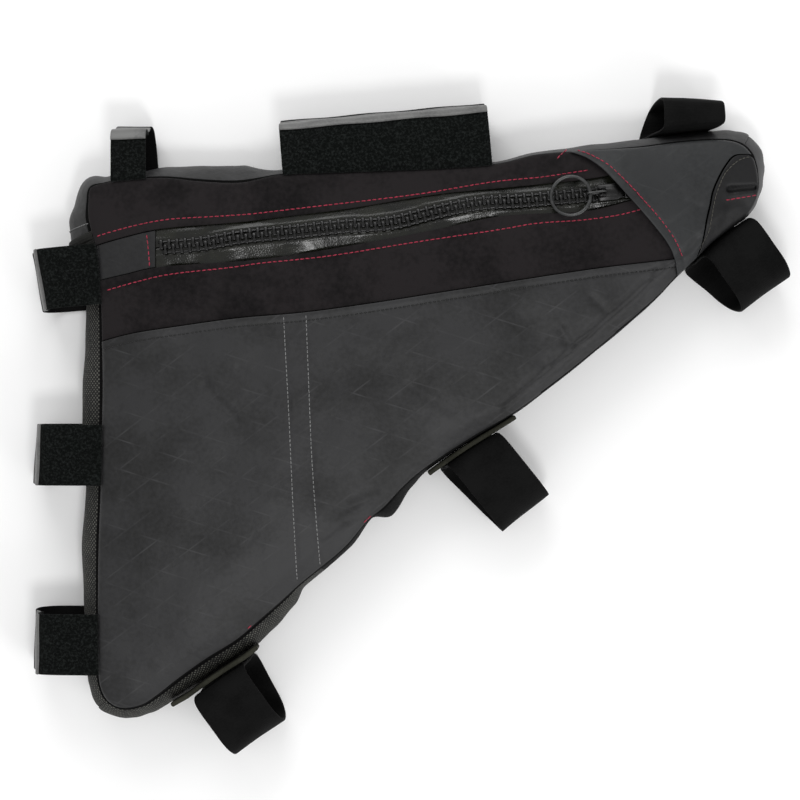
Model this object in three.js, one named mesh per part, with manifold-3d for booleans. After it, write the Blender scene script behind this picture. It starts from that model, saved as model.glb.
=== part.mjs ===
import * as THREE from 'three';
import { mergeVertices } from 'three/addons/utils/BufferGeometryUtils.js';
import Module from 'manifold-3d';

const wasm = await Module();
wasm.setup();

// A bicycle frame bag, lying on its back panel: +X towards the nose (the head tube end),
// +Y towards the top tube, +Z out of the front panel. All sizes are in millimetres.

// Driving sizes of the bag's body.
const bagLength = 420;
const bagHeight = 358;
const bagDepth = 50;
const cloth = 1.2;
const seamGap = 0.3;
const lidGap = 0.5;

// The stuffed front: how far it crowns over its seams, and how fast it rises from them.
const frontCrown = 9;
const crownReach = 26;
const edgeRoll = 4.5;
const rollWidth = 12;
const rearRoll = 0.3;

// The zip.
const toothPitch = 5;
const toothGap = 0.4;
const toothReach = 4.7;
const toothOverlap = 1.7;
const toothHeight = 1.9;
const spineWidth = 1.5;
const tapeThickness = 0.9;
const tapeOverlap = 3;
const tapeSlit = 0.5;
const sliderLength = 16;
const sliderWidth = 10.5;
const sliderThickness = 1.7;
const earLength = 4.5;
const earThickness = 1.5;
const earPlay = 1.2;
const sliderPin = 1.3;
const ringDiameter = 26.5;
const ringWire = 2.2;
const ringTilt = 8;
const bailWire = 1.3;
const bailSpan = 7.2;

// The hood over the zip's end, and the standing flap at its hem.
const hoodLift = 0.6;
const hoodFlare = 4.6;
const hoodFlareReach = 34;
const hoodSettleStart = 4;
const hoodSettle = 24;

// Straps: hook-and-loop straps with a stiff tab end, and plain straps threaded in keepers.
const wideWebbing = 38;
const narrowWebbing = 22;
const topPadWidth = 130.5;
const webbing = 1.7;
const groundGap = 0.05;
const footGap = 0.5;
const strapPlay = 0.2;
const tabPlay = 0.45;
const tabThickness = 1.1;
const keeperThickness = 3;
const keeperOverhang = 13;
const keeperFrom = 0.12;
const keeperTo = 0.62;
const bindingWidth = 6;
const bindingThickness = 1;
const bindingFrom = 0.05;
const bindingTo = 0.93;

// The seam all round the bag's front, anticlockwise from the top rear corner. along and up
// are shares of the length and height; lean is how far the back seam lies outside the front
// one and belly how far the side wall swells between them, both as shares of the depth.
const perimeterTable = {
  columns: ['name', 'along', 'up', 'lean', 'belly'],
  rows: [
    ['top rear corner', 0.003, 0.906, 0.10, 0.16],
    ['', 0.000, 0.885, 0.13, 0.18],
    ['', 0.000, 0.854, 0.20, 0.22],
    ['corner hem', 0.007, 0.821, 0.23, 0.24],
    ['tab top', 0.011, 0.806, 0.18, 0.19],
    ['tab bottom', 0.016, 0.744, 0.14, 0.15],
    ['', 0.019, 0.692, 0.18, 0.19],
    ['panel top', 0.020, 0.639, 0.16, 0.21],
    ['', 0.021, 0.565, 0.17, 0.24],
    ['', 0.020, 0.495, 0.17, 0.24],
    ['', 0.018, 0.385, 0.13, 0.20],
    ['', 0.015, 0.285, 0.15, 0.21],
    ['', 0.014, 0.190, 0.13, 0.19],
    ['', 0.014, 0.094, 0.11, 0.17],
    ['', 0.017, 0.040, 0.11, 0.17],
    ['bottom corner', 0.027, 0.014, 0.12, 0.18],
    ['', 0.047, 0.000, 0.10, 0.15],
    ['', 0.080, 0.005, 0.09, 0.13],
    ['', 0.104, 0.023, 0.10, 0.14],
    ['', 0.131, 0.048, 0.12, 0.17],
    ['', 0.175, 0.085, 0.12, 0.17],
    ['', 0.221, 0.119, 0.12, 0.16],
    ['', 0.255, 0.153, 0.11, 0.15],
    ['', 0.289, 0.188, 0.08, 0.12],
    ['', 0.313, 0.214, 0.02, 0.07],
    ['', 0.336, 0.236, 0.03, 0.06],
    ['', 0.381, 0.280, 0.02, 0.05],
    ['', 0.417, 0.329, 0.00, 0.02],
    ['', 0.438, 0.349, 0.07, 0.12],
    ['', 0.472, 0.391, 0.05, 0.07],
    ['', 0.499, 0.417, 0.02, 0.05],
    ['', 0.567, 0.470, 0.01, 0.04],
    ['', 0.628, 0.512, 0.00, 0.03],
    ['', 0.700, 0.573, 0.00, 0.03],
    ['', 0.774, 0.644, 0.00, 0.03],
    ['', 0.849, 0.720, 0.00, 0.02],
    ['hood bottom', 0.875, 0.753, 0.00, 0.03],
    ['under hood bottom', 0.904, 0.786, 0.00, 0.03],
    ['', 0.930, 0.816, 0.00, 0.03],
    ['', 0.960, 0.844, 0.00, 0.03],
    ['nose bottom', 0.983, 0.866, 0.01, 0.04],
    ['', 0.992, 0.889, 0.02, 0.07],
    ['', 0.994, 0.920, 0.06, 0.12],
    ['', 0.990, 0.948, 0.10, 0.16],
    ['port top', 0.984, 0.965, 0.12, 0.19],
    ['nose top', 0.973, 0.979, 0.12, 0.19],
    ['', 0.958, 0.987, 0.10, 0.16],
    ['', 0.933, 0.990, 0.08, 0.14],
    ['', 0.878, 0.986, 0.07, 0.13],
    ['', 0.819, 0.977, 0.06, 0.13],
    ['under hood top', 0.760, 0.972, 0.05, 0.11],
    ['hood top', 0.712, 0.969, 0.04, 0.08],
    ['', 0.663, 0.964, 0.03, 0.07],
    ['', 0.611, 0.949, 0.04, 0.07],
    ['', 0.529, 0.941, 0.03, 0.06],
    ['', 0.444, 0.937, 0.03, 0.06],
    ['', 0.350, 0.933, 0.03, 0.06],
    ['', 0.280, 0.929, 0.05, 0.09],
    ['', 0.228, 0.916, 0.14, 0.20],
    ['', 0.166, 0.918, 0.13, 0.19],
    ['', 0.113, 0.924, 0.10, 0.15],
    ['', 0.062, 0.921, 0.07, 0.10],
    ['', 0.024, 0.915, 0.07, 0.10],
  ],
};

// Lines across the front, from the seat-tube seam to the nose, as shares of length and height:
// the zip window's two edges, the top of the lower panel and the middle of the zip's chain.
const windowTopLine = {
  columns: ['along', 'up'],
  rows: [
    [0.011, 0.806], [0.055, 0.820], [0.102, 0.832], [0.226, 0.845], [0.374, 0.866],
    [0.516, 0.893], [0.611, 0.904], [0.748, 0.921], [0.791, 0.932],
  ],
};
const windowBottomLine = {
  columns: ['along', 'up'],
  rows: [
    [0.016, 0.744], [0.055, 0.754], [0.102, 0.766], [0.255, 0.780], [0.400, 0.806],
    [0.516, 0.832], [0.611, 0.855], [0.742, 0.865], [0.824, 0.889],
  ],
};
const panelTopLine = {
  columns: ['along', 'up'],
  rows: [
    [0.020, 0.639], [0.061, 0.651], [0.137, 0.665], [0.226, 0.679], [0.323, 0.689],
    [0.430, 0.706], [0.543, 0.727], [0.641, 0.745], [0.754, 0.765], [0.868, 0.782],
    [0.901, 0.790],
  ],
};
const chainLine = {
  columns: ['along', 'up'],
  rows: [
    [0.098, 0.800], [0.168, 0.807], [0.226, 0.819], [0.305, 0.828], [0.374, 0.837],
    [0.451, 0.844], [0.516, 0.863], [0.583, 0.878], [0.641, 0.882], [0.748, 0.893],
    [0.806, 0.901],
  ],
};
// Lines from the top seam down to the down-tube seam: the hood's hem and the port's groove.
const hemLine = {
  columns: ['along', 'up'],
  rows: [
    [0.712, 0.969], [0.737, 0.957], [0.758, 0.939], [0.780, 0.911], [0.794, 0.892],
    [0.814, 0.867], [0.837, 0.837], [0.855, 0.811], [0.866, 0.788], [0.875, 0.753],
  ],
};
const portLine = {
  columns: ['along', 'up'],
  rows: [
    [0.984, 0.965], [0.957, 0.962], [0.944, 0.946], [0.933, 0.924], [0.924, 0.899],
    [0.920, 0.875], [0.915, 0.849], [0.911, 0.815], [0.904, 0.786],
  ],
};
const windowStart = 0.1015;
const chainEnd = 0.806;
const sliderAlong = 0.772;

// Soft folds pressed into the front: each runs from one place to another (shares of length
// and height) and has a half width and a depth (shares of the depth; under 0 is a ridge).
const foldTable = {
  columns: ['fromAlong', 'fromUp', 'toAlong', 'toUp', 'width', 'depth'],
  rows: [
    [0.62, 0.72, 0.72, 0.56, 0.22, 0.035],
    [0.71, 0.64, 0.80, 0.68, 0.14, 0.040],
    [0.68, 0.60, 0.70, 0.57, 0.10, 0.050],
    [0.80, 0.66, 0.83, 0.73, 0.16, 0.030],
    [0.43, 0.60, 0.53, 0.45, 0.26, 0.025],
    [0.13, 0.62, 0.20, 0.45, 0.30, 0.022],
    [0.45, 0.36, 0.38, 0.34, 0.12, 0.045],
    [0.24, 0.86, 0.28, 0.93, 0.16, 0.030],
    [0.04, 0.86, 0.20, 0.88, 0.16, 0.020],
    [0.24, 0.71, 0.60, 0.77, 0.12, -0.014],
    [0.935, 0.80, 0.955, 0.90, 0.07, 0.035],
    [0.945, 0.875, 0.985, 0.89, 0.06, 0.045],
  ],
};

// Where each strap leaves the bag (the perimeter place that its middle is nearest to), the
// way it points, and how far it reaches out of the seam, as shares of the depth. skew moves
// its far layer sideways, and slant lets its end run out of square.
const tabStrapTable = {
  columns: ['name', 'along', 'up', 'turn', 'width', 'reach', 'skew', 'slant'],
  rows: [
    ['seat_strap_upper', 0.014, 0.758, 185, wideWebbing, 0.75, 0, -0.08],
    ['seat_strap_middle', 0.019, 0.439, 180, wideWebbing, 0.81, 0, 0.05],
    ['seat_strap_lower', 0.014, 0.112, 180, wideWebbing, 0.77, 0, 0.02],
    ['top_strap_rear', 0.059, 0.921, 91, narrowWebbing, 0.62, -0.12, 0],
    ['top_strap_wide', 0.442, 0.937, 95, topPadWidth, 0.69, 0, 0],
  ],
};
const loopStrapTable = {
  columns: ['name', 'along', 'up', 'turn', 'width', 'reach', 'skew', 'slant', 'keeper'],
  rows: [
    ['top_strap_front', 0.901, 0.988, 91, wideWebbing, 0.56, 0.08, 0.12, 0],
    ['down_strap_front', 0.948, 0.837, 306, wideWebbing, 0.94, -0.14, 0, 0],
    ['down_strap_middle', 0.563, 0.466, 309, wideWebbing, 1.18, -0.10, 0, 1],
    ['down_strap_rear', 0.169, 0.081, 305, wideWebbing, 1.20, 0.04, 0, 1],
  ],
};

// How each strap runs, seen from its end. The loop half: out in shares of its reach, drop under
// the front in shares of the depth. The hook half's lower part: past the reach in shares of the
// depth, rise in shares of the front's height. The plain strap: shares of the room between its
// near and far side, and between the ground and its top.
const loopHalfProfile = {
  columns: ['out', 'drop'],
  rows: [[0, 0.006], [0.35, 0.018], [0.70, 0.044], [0.92, 0.10], [0.97, 0.22], [0.96, 0.36]],
};
const hookHalfProfile = {
  columns: ['past', 'rise'],
  rows: [[-0.10, 0.004], [0.07, 0.12], [0.12, 0.30], [0.085, 0.50]],
};
const plainStrapProfile = {
  columns: ['out', 'rise'],
  rows: [
    [0, 0.11], [0, 0.50], [0, 0.89], [0.09, 1], [0.50, 1], [0.80, 0.95], [0.97, 0.74],
    [1, 0.41], [0.93, 0.13], [0.78, 0], [0.50, 0], [0.09, 0],
  ],
};

// Finishes.
const finishes = {
  laminate: { color: 0x3a3a3b, roughness: 0.62, metalness: 0 },
  blackCloth: { color: 0x222121, roughness: 0.85, metalness: 0 },
  packCloth: { color: 0x2b2b28, roughness: 0.85, metalness: 0 },
  loopPile: { color: 0x141818, roughness: 0.95, metalness: 0 },
  strapBack: { color: 0x161616, roughness: 0.7, metalness: 0 },
  tabLaminate: { color: 0x6a6a68, roughness: 0.5, metalness: 0 },
  zipTape: { color: 0x242523, roughness: 0.3, metalness: 0 },
  zipMetal: { color: 0x2a2b2b, roughness: 0.45, metalness: 0.6 },
  keeperWeb: { color: 0x33342e, roughness: 0.8, metalness: 0 },
};

// A row of a table as an object with the table's column names.
function namedRows(table) {
  return table.rows.map((row) => {
    const named = {};
    table.columns.forEach((column, index) => {
      named[column] = row[index];
    });
    return named;
  });
}

function placeOf(along, up) {
  return new THREE.Vector3(along * bagLength, up * bagHeight, 0);
}

// The perimeter: one closed curve through the rows, with the side wall's lean and belly.
const sections = namedRows(perimeterTable);
const seamCurve = new THREE.CatmullRomCurve3(
  sections.map((section) => placeOf(section.along, section.up)), true, 'centripetal',
);

function rowOf(name) {
  return sections.findIndex((section) => section.name === name);
}

// A place on the perimeter; row may have a fraction, and may run past the last row.
function perimeterAt(row) {
  const count = sections.length;
  const wrapped = ((row % count) + count) % count;
  const before = sections[Math.floor(wrapped)];
  const after = sections[(Math.floor(wrapped) + 1) % count];
  const ease = THREE.MathUtils.smoothstep(wrapped - Math.floor(wrapped), 0, 1);
  const point = seamCurve.getPoint(wrapped / count);
  const tangent = seamCurve.getTangent(wrapped / count);
  return {
    x: point.x,
    y: point.y,
    outX: tangent.y,
    outY: -tangent.x,
    lean: THREE.MathUtils.lerp(before.lean, after.lean, ease) * bagDepth,
    belly: THREE.MathUtils.lerp(before.belly, after.belly, ease) * bagDepth,
  };
}

const samplesPerRow = 4;

function perimeterPiece(fromRow, toRow) {
  const steps = Math.round(Math.abs(toRow - fromRow) * samplesPerRow);
  const points = [];
  for (let step = 0; step <= steps; step += 1) {
    const place = perimeterAt(THREE.MathUtils.lerp(fromRow, toRow, step / steps));
    points.push(new THREE.Vector3(place.x, place.y, 0));
  }
  return points;
}

// A smooth line through hand-placed points, as a dense list of points.
function lineThrough(table, shift = 0) {
  const places = namedRows(table).map((row) => placeOf(row.along, row.up));
  const curve = new THREE.CatmullRomCurve3(places, false, 'centripetal');
  const points = curve.getPoints(places.length * samplesPerRow);
  return points.map((point) => new THREE.Vector3(point.x, point.y + shift, 0));
}

// The point at a share of a line's own length.
function pointAlong(points, share) {
  let total = 0;
  for (let index = 1; index < points.length; index += 1) {
    total += points[index].distanceTo(points[index - 1]);
  }
  let left = THREE.MathUtils.clamp(share, 0, 1) * total;
  for (let index = 1; index < points.length; index += 1) {
    const stretch = points[index].distanceTo(points[index - 1]);
    if (left <= stretch || index === points.length - 1) {
      const part = stretch > 0 ? Math.min(left / stretch, 1) : 0;
      return new THREE.Vector3().lerpVectors(points[index - 1], points[index], part);
    }
    left -= stretch;
  }
  return points[0].clone();
}

// The part of a line between two places along X.
function partOfLine(points, fromAlong, toAlong) {
  const fromX = fromAlong * bagLength;
  const toX = toAlong * bagLength;
  const inside = points.filter((point) => point.x > fromX && point.x < toX);
  return [pointAtX(points, fromX), ...inside, pointAtX(points, toX)];
}

function pointAtX(points, x) {
  for (let index = 1; index < points.length; index += 1) {
    const before = points[index - 1];
    const after = points[index];
    if (x <= after.x || index === points.length - 1) {
      const part = THREE.MathUtils.clamp((x - before.x) / (after.x - before.x), 0, 1);
      return new THREE.Vector3().lerpVectors(before, after, part);
    }
  }
  return points[0].clone();
}

function distanceToLine(x, y, points) {
  let nearest = Infinity;
  for (let index = 1; index < points.length; index += 1) {
    const a = points[index - 1];
    const b = points[index];
    const dx = b.x - a.x;
    const dy = b.y - a.y;
    const square = dx * dx + dy * dy;
    const along = square > 0 ? ((x - a.x) * dx + (y - a.y) * dy) / square : 0;
    const part = THREE.MathUtils.clamp(along, 0, 1);
    nearest = Math.min(nearest, Math.hypot(x - a.x - part * dx, y - a.y - part * dy));
  }
  return nearest;
}

// The three sides of the triangle, for the front's crown.
const seatSide = perimeterPiece(0, rowOf('bottom corner'));
const downSide = perimeterPiece(rowOf('bottom corner'), rowOf('nose bottom'));
const topSide = perimeterPiece(rowOf('nose bottom'), sections.length);
const folds = namedRows(foldTable);

function foldDepth(x, y) {
  let depth = 0;
  for (const fold of folds) {
    const ends = [placeOf(fold.fromAlong, fold.fromUp), placeOf(fold.toAlong, fold.toUp)];
    const away = distanceToLine(x, y, ends) / (fold.width * bagDepth);
    depth += fold.depth * bagDepth * Math.exp(-away * away);
  }
  return depth;
}

// The height of the front's outer face over the ground, at any place inside the seams. The
// edge along the down tube rolls over, more so towards the nose.
function frontHeight(x, y) {
  const away = [seatSide, downSide, topSide].map((side) => distanceToLine(x, y, side));
  const rises = away.map((distance) => 1 - Math.exp(-distance / crownReach));
  const crown = rises[0] * rises[1] * rises[2];
  const towardsNose = THREE.MathUtils.smoothstep(x / bagLength, 0.3, 0.6);
  const rollShare = THREE.MathUtils.lerp(rearRoll, 1, towardsNose);
  const roll = edgeRoll * rollShare * (1 - THREE.MathUtils.smoothstep(away[1], 0, rollWidth));
  const fade = Math.min(1, Math.min(...away) / crownReach);
  return bagDepth + frontCrown * crown - roll - foldDepth(x, y) * fade;
}

// A place on the side wall's outer face: share runs from the front seam down to the back one.
function wallPoint(row, share, proud = 0) {
  const place = perimeterAt(row);
  const high = frontHeight(place.x, place.y) - cloth - lidGap;
  const low = cloth + seamGap;
  const out = place.lean * share + place.belly * Math.sin(Math.PI * share) + proud;
  return new THREE.Vector3(
    place.x + place.outX * out,
    place.y + place.outY * out,
    THREE.MathUtils.lerp(high, low, share),
  );
}

// One closed sheet from a grid of outer points and the same grid of inner points.
function thickSheet(outer, inner, ring = false) {
  const rows = outer.length;
  const columns = outer[0].length;
  const positions = [];
  for (const grid of [outer, inner]) {
    for (const row of grid) {
      for (const point of row) {
        positions.push(point.x, point.y, point.z);
      }
    }
  }
  const at = (layer, row, column) => layer * rows * columns + (row % rows) * columns + column;
  const indices = [];
  const quad = (a, b, c, d) => indices.push(a, b, c, a, c, d);
  const lastRow = ring ? rows : rows - 1;
  for (let row = 0; row < lastRow; row += 1) {
    for (let column = 0; column < columns - 1; column += 1) {
      quad(at(0, row, column), at(0, row + 1, column), at(0, row + 1, column + 1), at(0, row, column + 1));
      quad(at(1, row, column), at(1, row, column + 1), at(1, row + 1, column + 1), at(1, row + 1, column));
    }
    quad(at(0, row, 0), at(1, row, 0), at(1, row + 1, 0), at(0, row + 1, 0));
    const edge = columns - 1;
    quad(at(0, row, edge), at(0, row + 1, edge), at(1, row + 1, edge), at(1, row, edge));
  }
  if (!ring) {
    for (let column = 0; column < columns - 1; column += 1) {
      quad(at(0, 0, column), at(0, 0, column + 1), at(1, 0, column + 1), at(1, 0, column));
      const end = rows - 1;
      quad(at(0, end, column), at(1, end, column), at(1, end, column + 1), at(0, end, column + 1));
    }
  }
  return facingOut(positions, indices);
}

// Turns every face of a closed mesh outwards.
function facingOut(positions, indices) {
  const corner = (index) => new THREE.Vector3().fromArray(positions, indices[index] * 3);
  let volume = 0;
  for (let index = 0; index < indices.length; index += 3) {
    volume += corner(index).dot(corner(index + 1).cross(corner(index + 2)));
  }
  if (volume < 0) {
    indices.reverse();
  }
  const geometry = new THREE.BufferGeometry();
  geometry.setAttribute('position', new THREE.Float32BufferAttribute(positions, 3));
  geometry.setIndex(indices);
  geometry.computeVertexNormals();
  return geometry;
}

// A four-sided patch: left and right run from its bottom line to its top line.
function patchPoint(sides, u, v) {
  const bottom = pointAlong(sides.bottom, u);
  const top = pointAlong(sides.top, u);
  const left = pointAlong(sides.left, v);
  const right = pointAlong(sides.right, v);
  const corners = [
    sides.bottom[0], sides.bottom[sides.bottom.length - 1],
    sides.top[0], sides.top[sides.top.length - 1],
  ];
  const blend = (axis) => (1 - v) * bottom[axis] + v * top[axis] + (1 - u) * left[axis] + u * right[axis]
    - (1 - u) * (1 - v) * corners[0][axis] - u * (1 - v) * corners[1][axis]
    - (1 - u) * v * corners[2][axis] - u * v * corners[3][axis];
  return new THREE.Vector3(blend('x'), blend('y'), 0);
}

// A piece of the front: a patch laid on the front's height, raised by lift(x, y).
function frontPatch(sides, uSteps, vSteps, thickness, lift) {
  const outer = [];
  const inner = [];
  for (let i = 0; i <= uSteps; i += 1) {
    const outerRow = [];
    const innerRow = [];
    for (let j = 0; j <= vSteps; j += 1) {
      const point = patchPoint(sides, i / uSteps, j / vSteps);
      point.z = frontHeight(point.x, point.y) + lift(point.x, point.y);
      outerRow.push(point);
      innerRow.push(new THREE.Vector3(point.x, point.y, point.z - thickness));
    }
    outer.push(outerRow);
    inner.push(innerRow);
  }
  return thickSheet(outer, inner);
}

// A stretch of side wall, or something laid on it: from one row and depth share to another.
function wallStrip(fromRow, toRow, steps, fromShare, toShare, drops, proud, thickness) {
  const outer = [];
  const inner = [];
  for (let i = 0; i <= steps; i += 1) {
    const row = THREE.MathUtils.lerp(fromRow, toRow, i / steps);
    const outerRow = [];
    const innerRow = [];
    for (let j = 0; j <= drops; j += 1) {
      const share = THREE.MathUtils.lerp(fromShare, toShare, j / drops);
      outerRow.push(wallPoint(row, share, proud));
      innerRow.push(wallPoint(row, share, proud - thickness));
    }
    outer.push(outerRow);
    inner.push(innerRow);
  }
  return thickSheet(outer, inner);
}

const level = () => 0;

function lineBetween(from, to) {
  return [from.clone(), to.clone()];
}

function lastOf(points) {
  return points[points.length - 1];
}

// The back panel: a flat plate on the ground, out to the back seam.
function backPanel() {
  const places = sections.map((_, row) => perimeterAt(row));
  const outline = new THREE.Shape(places.map((place) => new THREE.Vector2(
    place.x + place.outX * place.lean, place.y + place.outY * place.lean,
  )));
  return new THREE.ExtrudeGeometry(outline, { depth: cloth, bevelEnabled: false });
}

// The front, from the bottom up.
const underHoodBottom = perimeterPiece(rowOf('under hood bottom'), rowOf('under hood bottom') + 1)[0];
const underHoodTop = perimeterPiece(rowOf('under hood top'), rowOf('under hood top') + 1)[0];

function frontLowerPanel() {
  const top = lineThrough(panelTopLine, -seamGap / 2);
  const bottom = perimeterPiece(rowOf('bottom corner'), rowOf('under hood bottom'));
  const left = perimeterPiece(rowOf('bottom corner'), rowOf('panel top'));
  left[left.length - 1] = top[0].clone();
  const right = lineBetween(lastOf(bottom), lastOf(top));
  return frontPatch({ bottom, top, left, right }, 21, 9, cloth, level);
}

function frontLowerBand() {
  const bottom = lineThrough(panelTopLine, seamGap / 2);
  const top = lineThrough(windowBottomLine);
  const left = perimeterPiece(rowOf('panel top'), rowOf('tab bottom'));
  left[0] = bottom[0].clone();
  left[left.length - 1] = top[0].clone();
  const right = lineBetween(lastOf(bottom), lastOf(top));
  return frontPatch({ bottom, top, left, right }, 24, 3, cloth, level);
}

function frontUpperBand() {
  const bottom = lineThrough(windowTopLine);
  const top = perimeterPiece(sections.length, rowOf('under hood top'));
  const left = perimeterPiece(rowOf('tab top'), 0);
  left[0] = bottom[0].clone();
  const right = lineBetween(lastOf(bottom), underHoodTop);
  return frontPatch({ bottom, top, left, right }, 24, 4, cloth, level);
}

function garageTab() {
  const bottom = partOfLine(lineThrough(windowBottomLine, seamGap), 0, windowStart);
  const top = partOfLine(lineThrough(windowTopLine, -seamGap), 0, windowStart);
  const left = lineBetween(bottom[0], top[0]);
  const right = lineBetween(lastOf(bottom), lastOf(top));
  return frontPatch({ bottom, top, left, right }, 4, 3, cloth, level);
}

// The zip's tapes lie just under the bands, and their slit follows the chain line.
const tapeTop = -(cloth + seamGap);
const chain = lineThrough(chainLine);

function tapeSides(upper) {
  const windowEdge = upper
    ? lineThrough(windowTopLine, tapeOverlap)
    : lineThrough(windowBottomLine, -tapeOverlap);
  const start = windowStart - tapeOverlap / bagLength;
  const outerLine = partOfLine(windowEdge, start, chainEnd);
  const slit = (upper ? 1 : -1) * tapeSlit / 2;
  const chainSide = partOfLine(chain, start, chainEnd).map(
    (point) => new THREE.Vector3(point.x, point.y + slit, 0),
  );
  const bottom = upper ? chainSide : outerLine;
  const top = upper ? outerLine : chainSide;
  return {
    bottom,
    top,
    left: lineBetween(bottom[0], top[0]),
    right: lineBetween(lastOf(bottom), lastOf(top)),
  };
}

function solidOf(geometry) {
  const bare = geometry.clone();
  bare.deleteAttribute('normal');
  bare.deleteAttribute('uv');
  const merged = mergeVertices(bare, 1e-4);
  return new wasm.Manifold(new wasm.Mesh({
    numProp: 3,
    vertProperties: new Float32Array(merged.attributes.position.array),
    triVerts: new Uint32Array(merged.index.array),
  }));
}

function geometryOf(solid) {
  const mesh = solid.getMesh();
  const geometry = new THREE.BufferGeometry();
  geometry.setAttribute('position', new THREE.BufferAttribute(mesh.vertProperties, 3));
  geometry.setIndex(new THREE.BufferAttribute(mesh.triVerts, 1));
  geometry.computeVertexNormals();
  return geometry;
}

const teethBase = tapeTop + lidGap;
const teethTop = teethBase + toothHeight;
const toothLength = toothPitch / 2 - toothGap;

// A frame on the front: X along the chain, Y across it, Z off the cloth.
function chainFrame(along, height) {
  const here = pointAtX(chain, along * bagLength);
  const ahead = pointAtX(chain, along * bagLength + 1);
  const plan = new THREE.Vector2(ahead.x - here.x, ahead.y - here.y).normalize();
  const rise = (dx, dy) => (
    frontHeight(here.x + dx, here.y + dy) - frontHeight(here.x - dx, here.y - dy)
  );
  const half = sliderWidth / 2;
  const forward = new THREE.Vector3(plan.x, plan.y, rise(plan.x * half, plan.y * half) / sliderWidth);
  const across = new THREE.Vector3(-plan.y, plan.x, rise(-plan.y * half, plan.x * half) / sliderWidth);
  const up = new THREE.Vector3().crossVectors(forward, across).normalize();
  forward.normalize();
  across.crossVectors(up, forward);
  const matrix = new THREE.Matrix4().makeBasis(forward, across, up);
  matrix.setPosition(here.x, here.y, frontHeight(here.x, here.y) + height);
  return matrix;
}

function zipTape(upper) {
  return frontPatch(tapeSides(upper), 28, 2, tapeThickness, () => tapeTop);
}

// Half of the chain: moulded teeth standing out of one spine. It is laid on the front tooth
// by tooth, and the two halves mesh, half a pitch apart.
function zipTeeth(upper) {
  const chainLength = (chainEnd - windowStart) * bagLength;
  const count = Math.floor(chainLength / toothPitch) - 1;
  const side = upper ? 1 : -1;
  const firstTooth = (upper ? 0.75 : 1.25) * toothPitch;
  const reaches = { back: toothReach, root: toothReach - spineWidth, tip: -toothOverlap };
  const positions = [];
  const indices = [];
  const corner = (distance, reach, height) => {
    const frame = chainFrame(windowStart + distance / bagLength, 0);
    const place = new THREE.Vector3(0, side * reach, 0).applyMatrix4(frame);
    positions.push(place.x, place.y, frontHeight(place.x, place.y) + teethBase + height);
  };
  // Each tooth has five corners below and the same five above.
  for (let index = 0; index < count; index += 1) {
    const start = firstTooth + index * toothPitch - toothLength / 2;
    const end = start + toothLength;
    for (const height of [0, toothHeight]) {
      corner(start, reaches.back, height);
      corner(start, reaches.root, height);
      corner(start, reaches.tip, height);
      corner(end, reaches.tip, height);
      corner(end, reaches.root, height);
    }
  }
  const names = ['a', 'b', 'c', 'd', 'e'];
  const at = (index, name, high) => (index * 2 + high) * names.length + names.indexOf(name);
  const wall = (from, to) => {
    indices.push(from[0], to[0], to[1], from[0], to[1], from[1]);
  };
  const pair = (index, name) => [at(index, name, 0), at(index, name, 1)];
  for (let index = 0; index < count; index += 1) {
    for (const high of [0, 1]) {
      const face = (a, b, c) => indices.push(...(high ? [a, b, c] : [a, c, b]));
      const [a, b, c, d, e] = names.map((name) => at(index, name, high));
      face(b, c, d);
      face(b, d, e);
      face(a, b, e);
      if (index < count - 1) {
        const nextBack = at(index + 1, 'a', high);
        face(a, e, nextBack);
        face(e, at(index + 1, 'b', high), nextBack);
      }
    }
    wall(pair(index, 'b'), pair(index, 'c'));
    wall(pair(index, 'c'), pair(index, 'd'));
    wall(pair(index, 'd'), pair(index, 'e'));
    if (index < count - 1) {
      wall(pair(index, 'e'), pair(index + 1, 'b'));
      wall(pair(index + 1, 'a'), pair(index, 'a'));
    }
  }
  wall(pair(0, 'a'), pair(0, 'b'));
  wall(pair(count - 1, 'e'), pair(count - 1, 'a'));
  return facingOut(positions, indices);
}

// The slider's pin, and the room that the bail's turn needs round it.
const pinPlace = -sliderLength / 3;
const bailRoom = (Math.max(ringWire, sliderPin) + bailWire) / 2 + seamGap;
const pinHeight = sliderThickness + seamGap + bailWire / 2 + bailRoom;
const sliderTaper = 0.55;
const sliderNose = 0.56;

// The slider: a plate over the teeth with two ears and the pin that carries the pull.
function zipSlider() {
  const half = sliderLength / 2;
  const side = sliderWidth / 2;
  const plan = new THREE.Shape();
  plan.moveTo(-half, -side);
  plan.lineTo(half * sliderTaper, -side);
  plan.lineTo(half, -side * sliderNose);
  plan.lineTo(half, side * sliderNose);
  plan.lineTo(half * sliderTaper, side);
  plan.lineTo(-half, side);
  plan.closePath();
  const plate = new THREE.ExtrudeGeometry(plan, { depth: sliderThickness, bevelEnabled: false });
  let slider = solidOf(plate);
  const earGap = bailWire + 2 * seamGap + earPlay;
  const earTop = pinHeight + sliderPin;
  const earRoot = sliderThickness / 2;
  for (const way of [-1, 1]) {
    const ear = new THREE.BoxGeometry(earLength, earThickness, earTop - earRoot);
    ear.translate(pinPlace, way * (earGap + earThickness) / 2, (earTop + earRoot) / 2);
    slider = slider.add(solidOf(ear));
  }
  const pin = new THREE.CylinderGeometry(sliderPin / 2, sliderPin / 2, earGap + earThickness, 10);
  pin.translate(pinPlace, 0, pinHeight);
  slider = slider.add(solidOf(pin));
  return geometryOf(slider).applyMatrix4(chainFrame(sliderAlong, teethTop + seamGap));
}

// The ring pull lies on the teeth, tipped up a little where the bail holds it.
const ringRadius = (ringDiameter - ringWire) / 2;
const ringTip = THREE.MathUtils.degToRad(ringTilt);
const ringAlong = sliderAlong + (pinPlace - bailSpan - ringRadius) / bagLength;
const ringRise = Math.sin(ringTip) * ringRadius + ringWire / 2 + seamGap;

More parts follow.
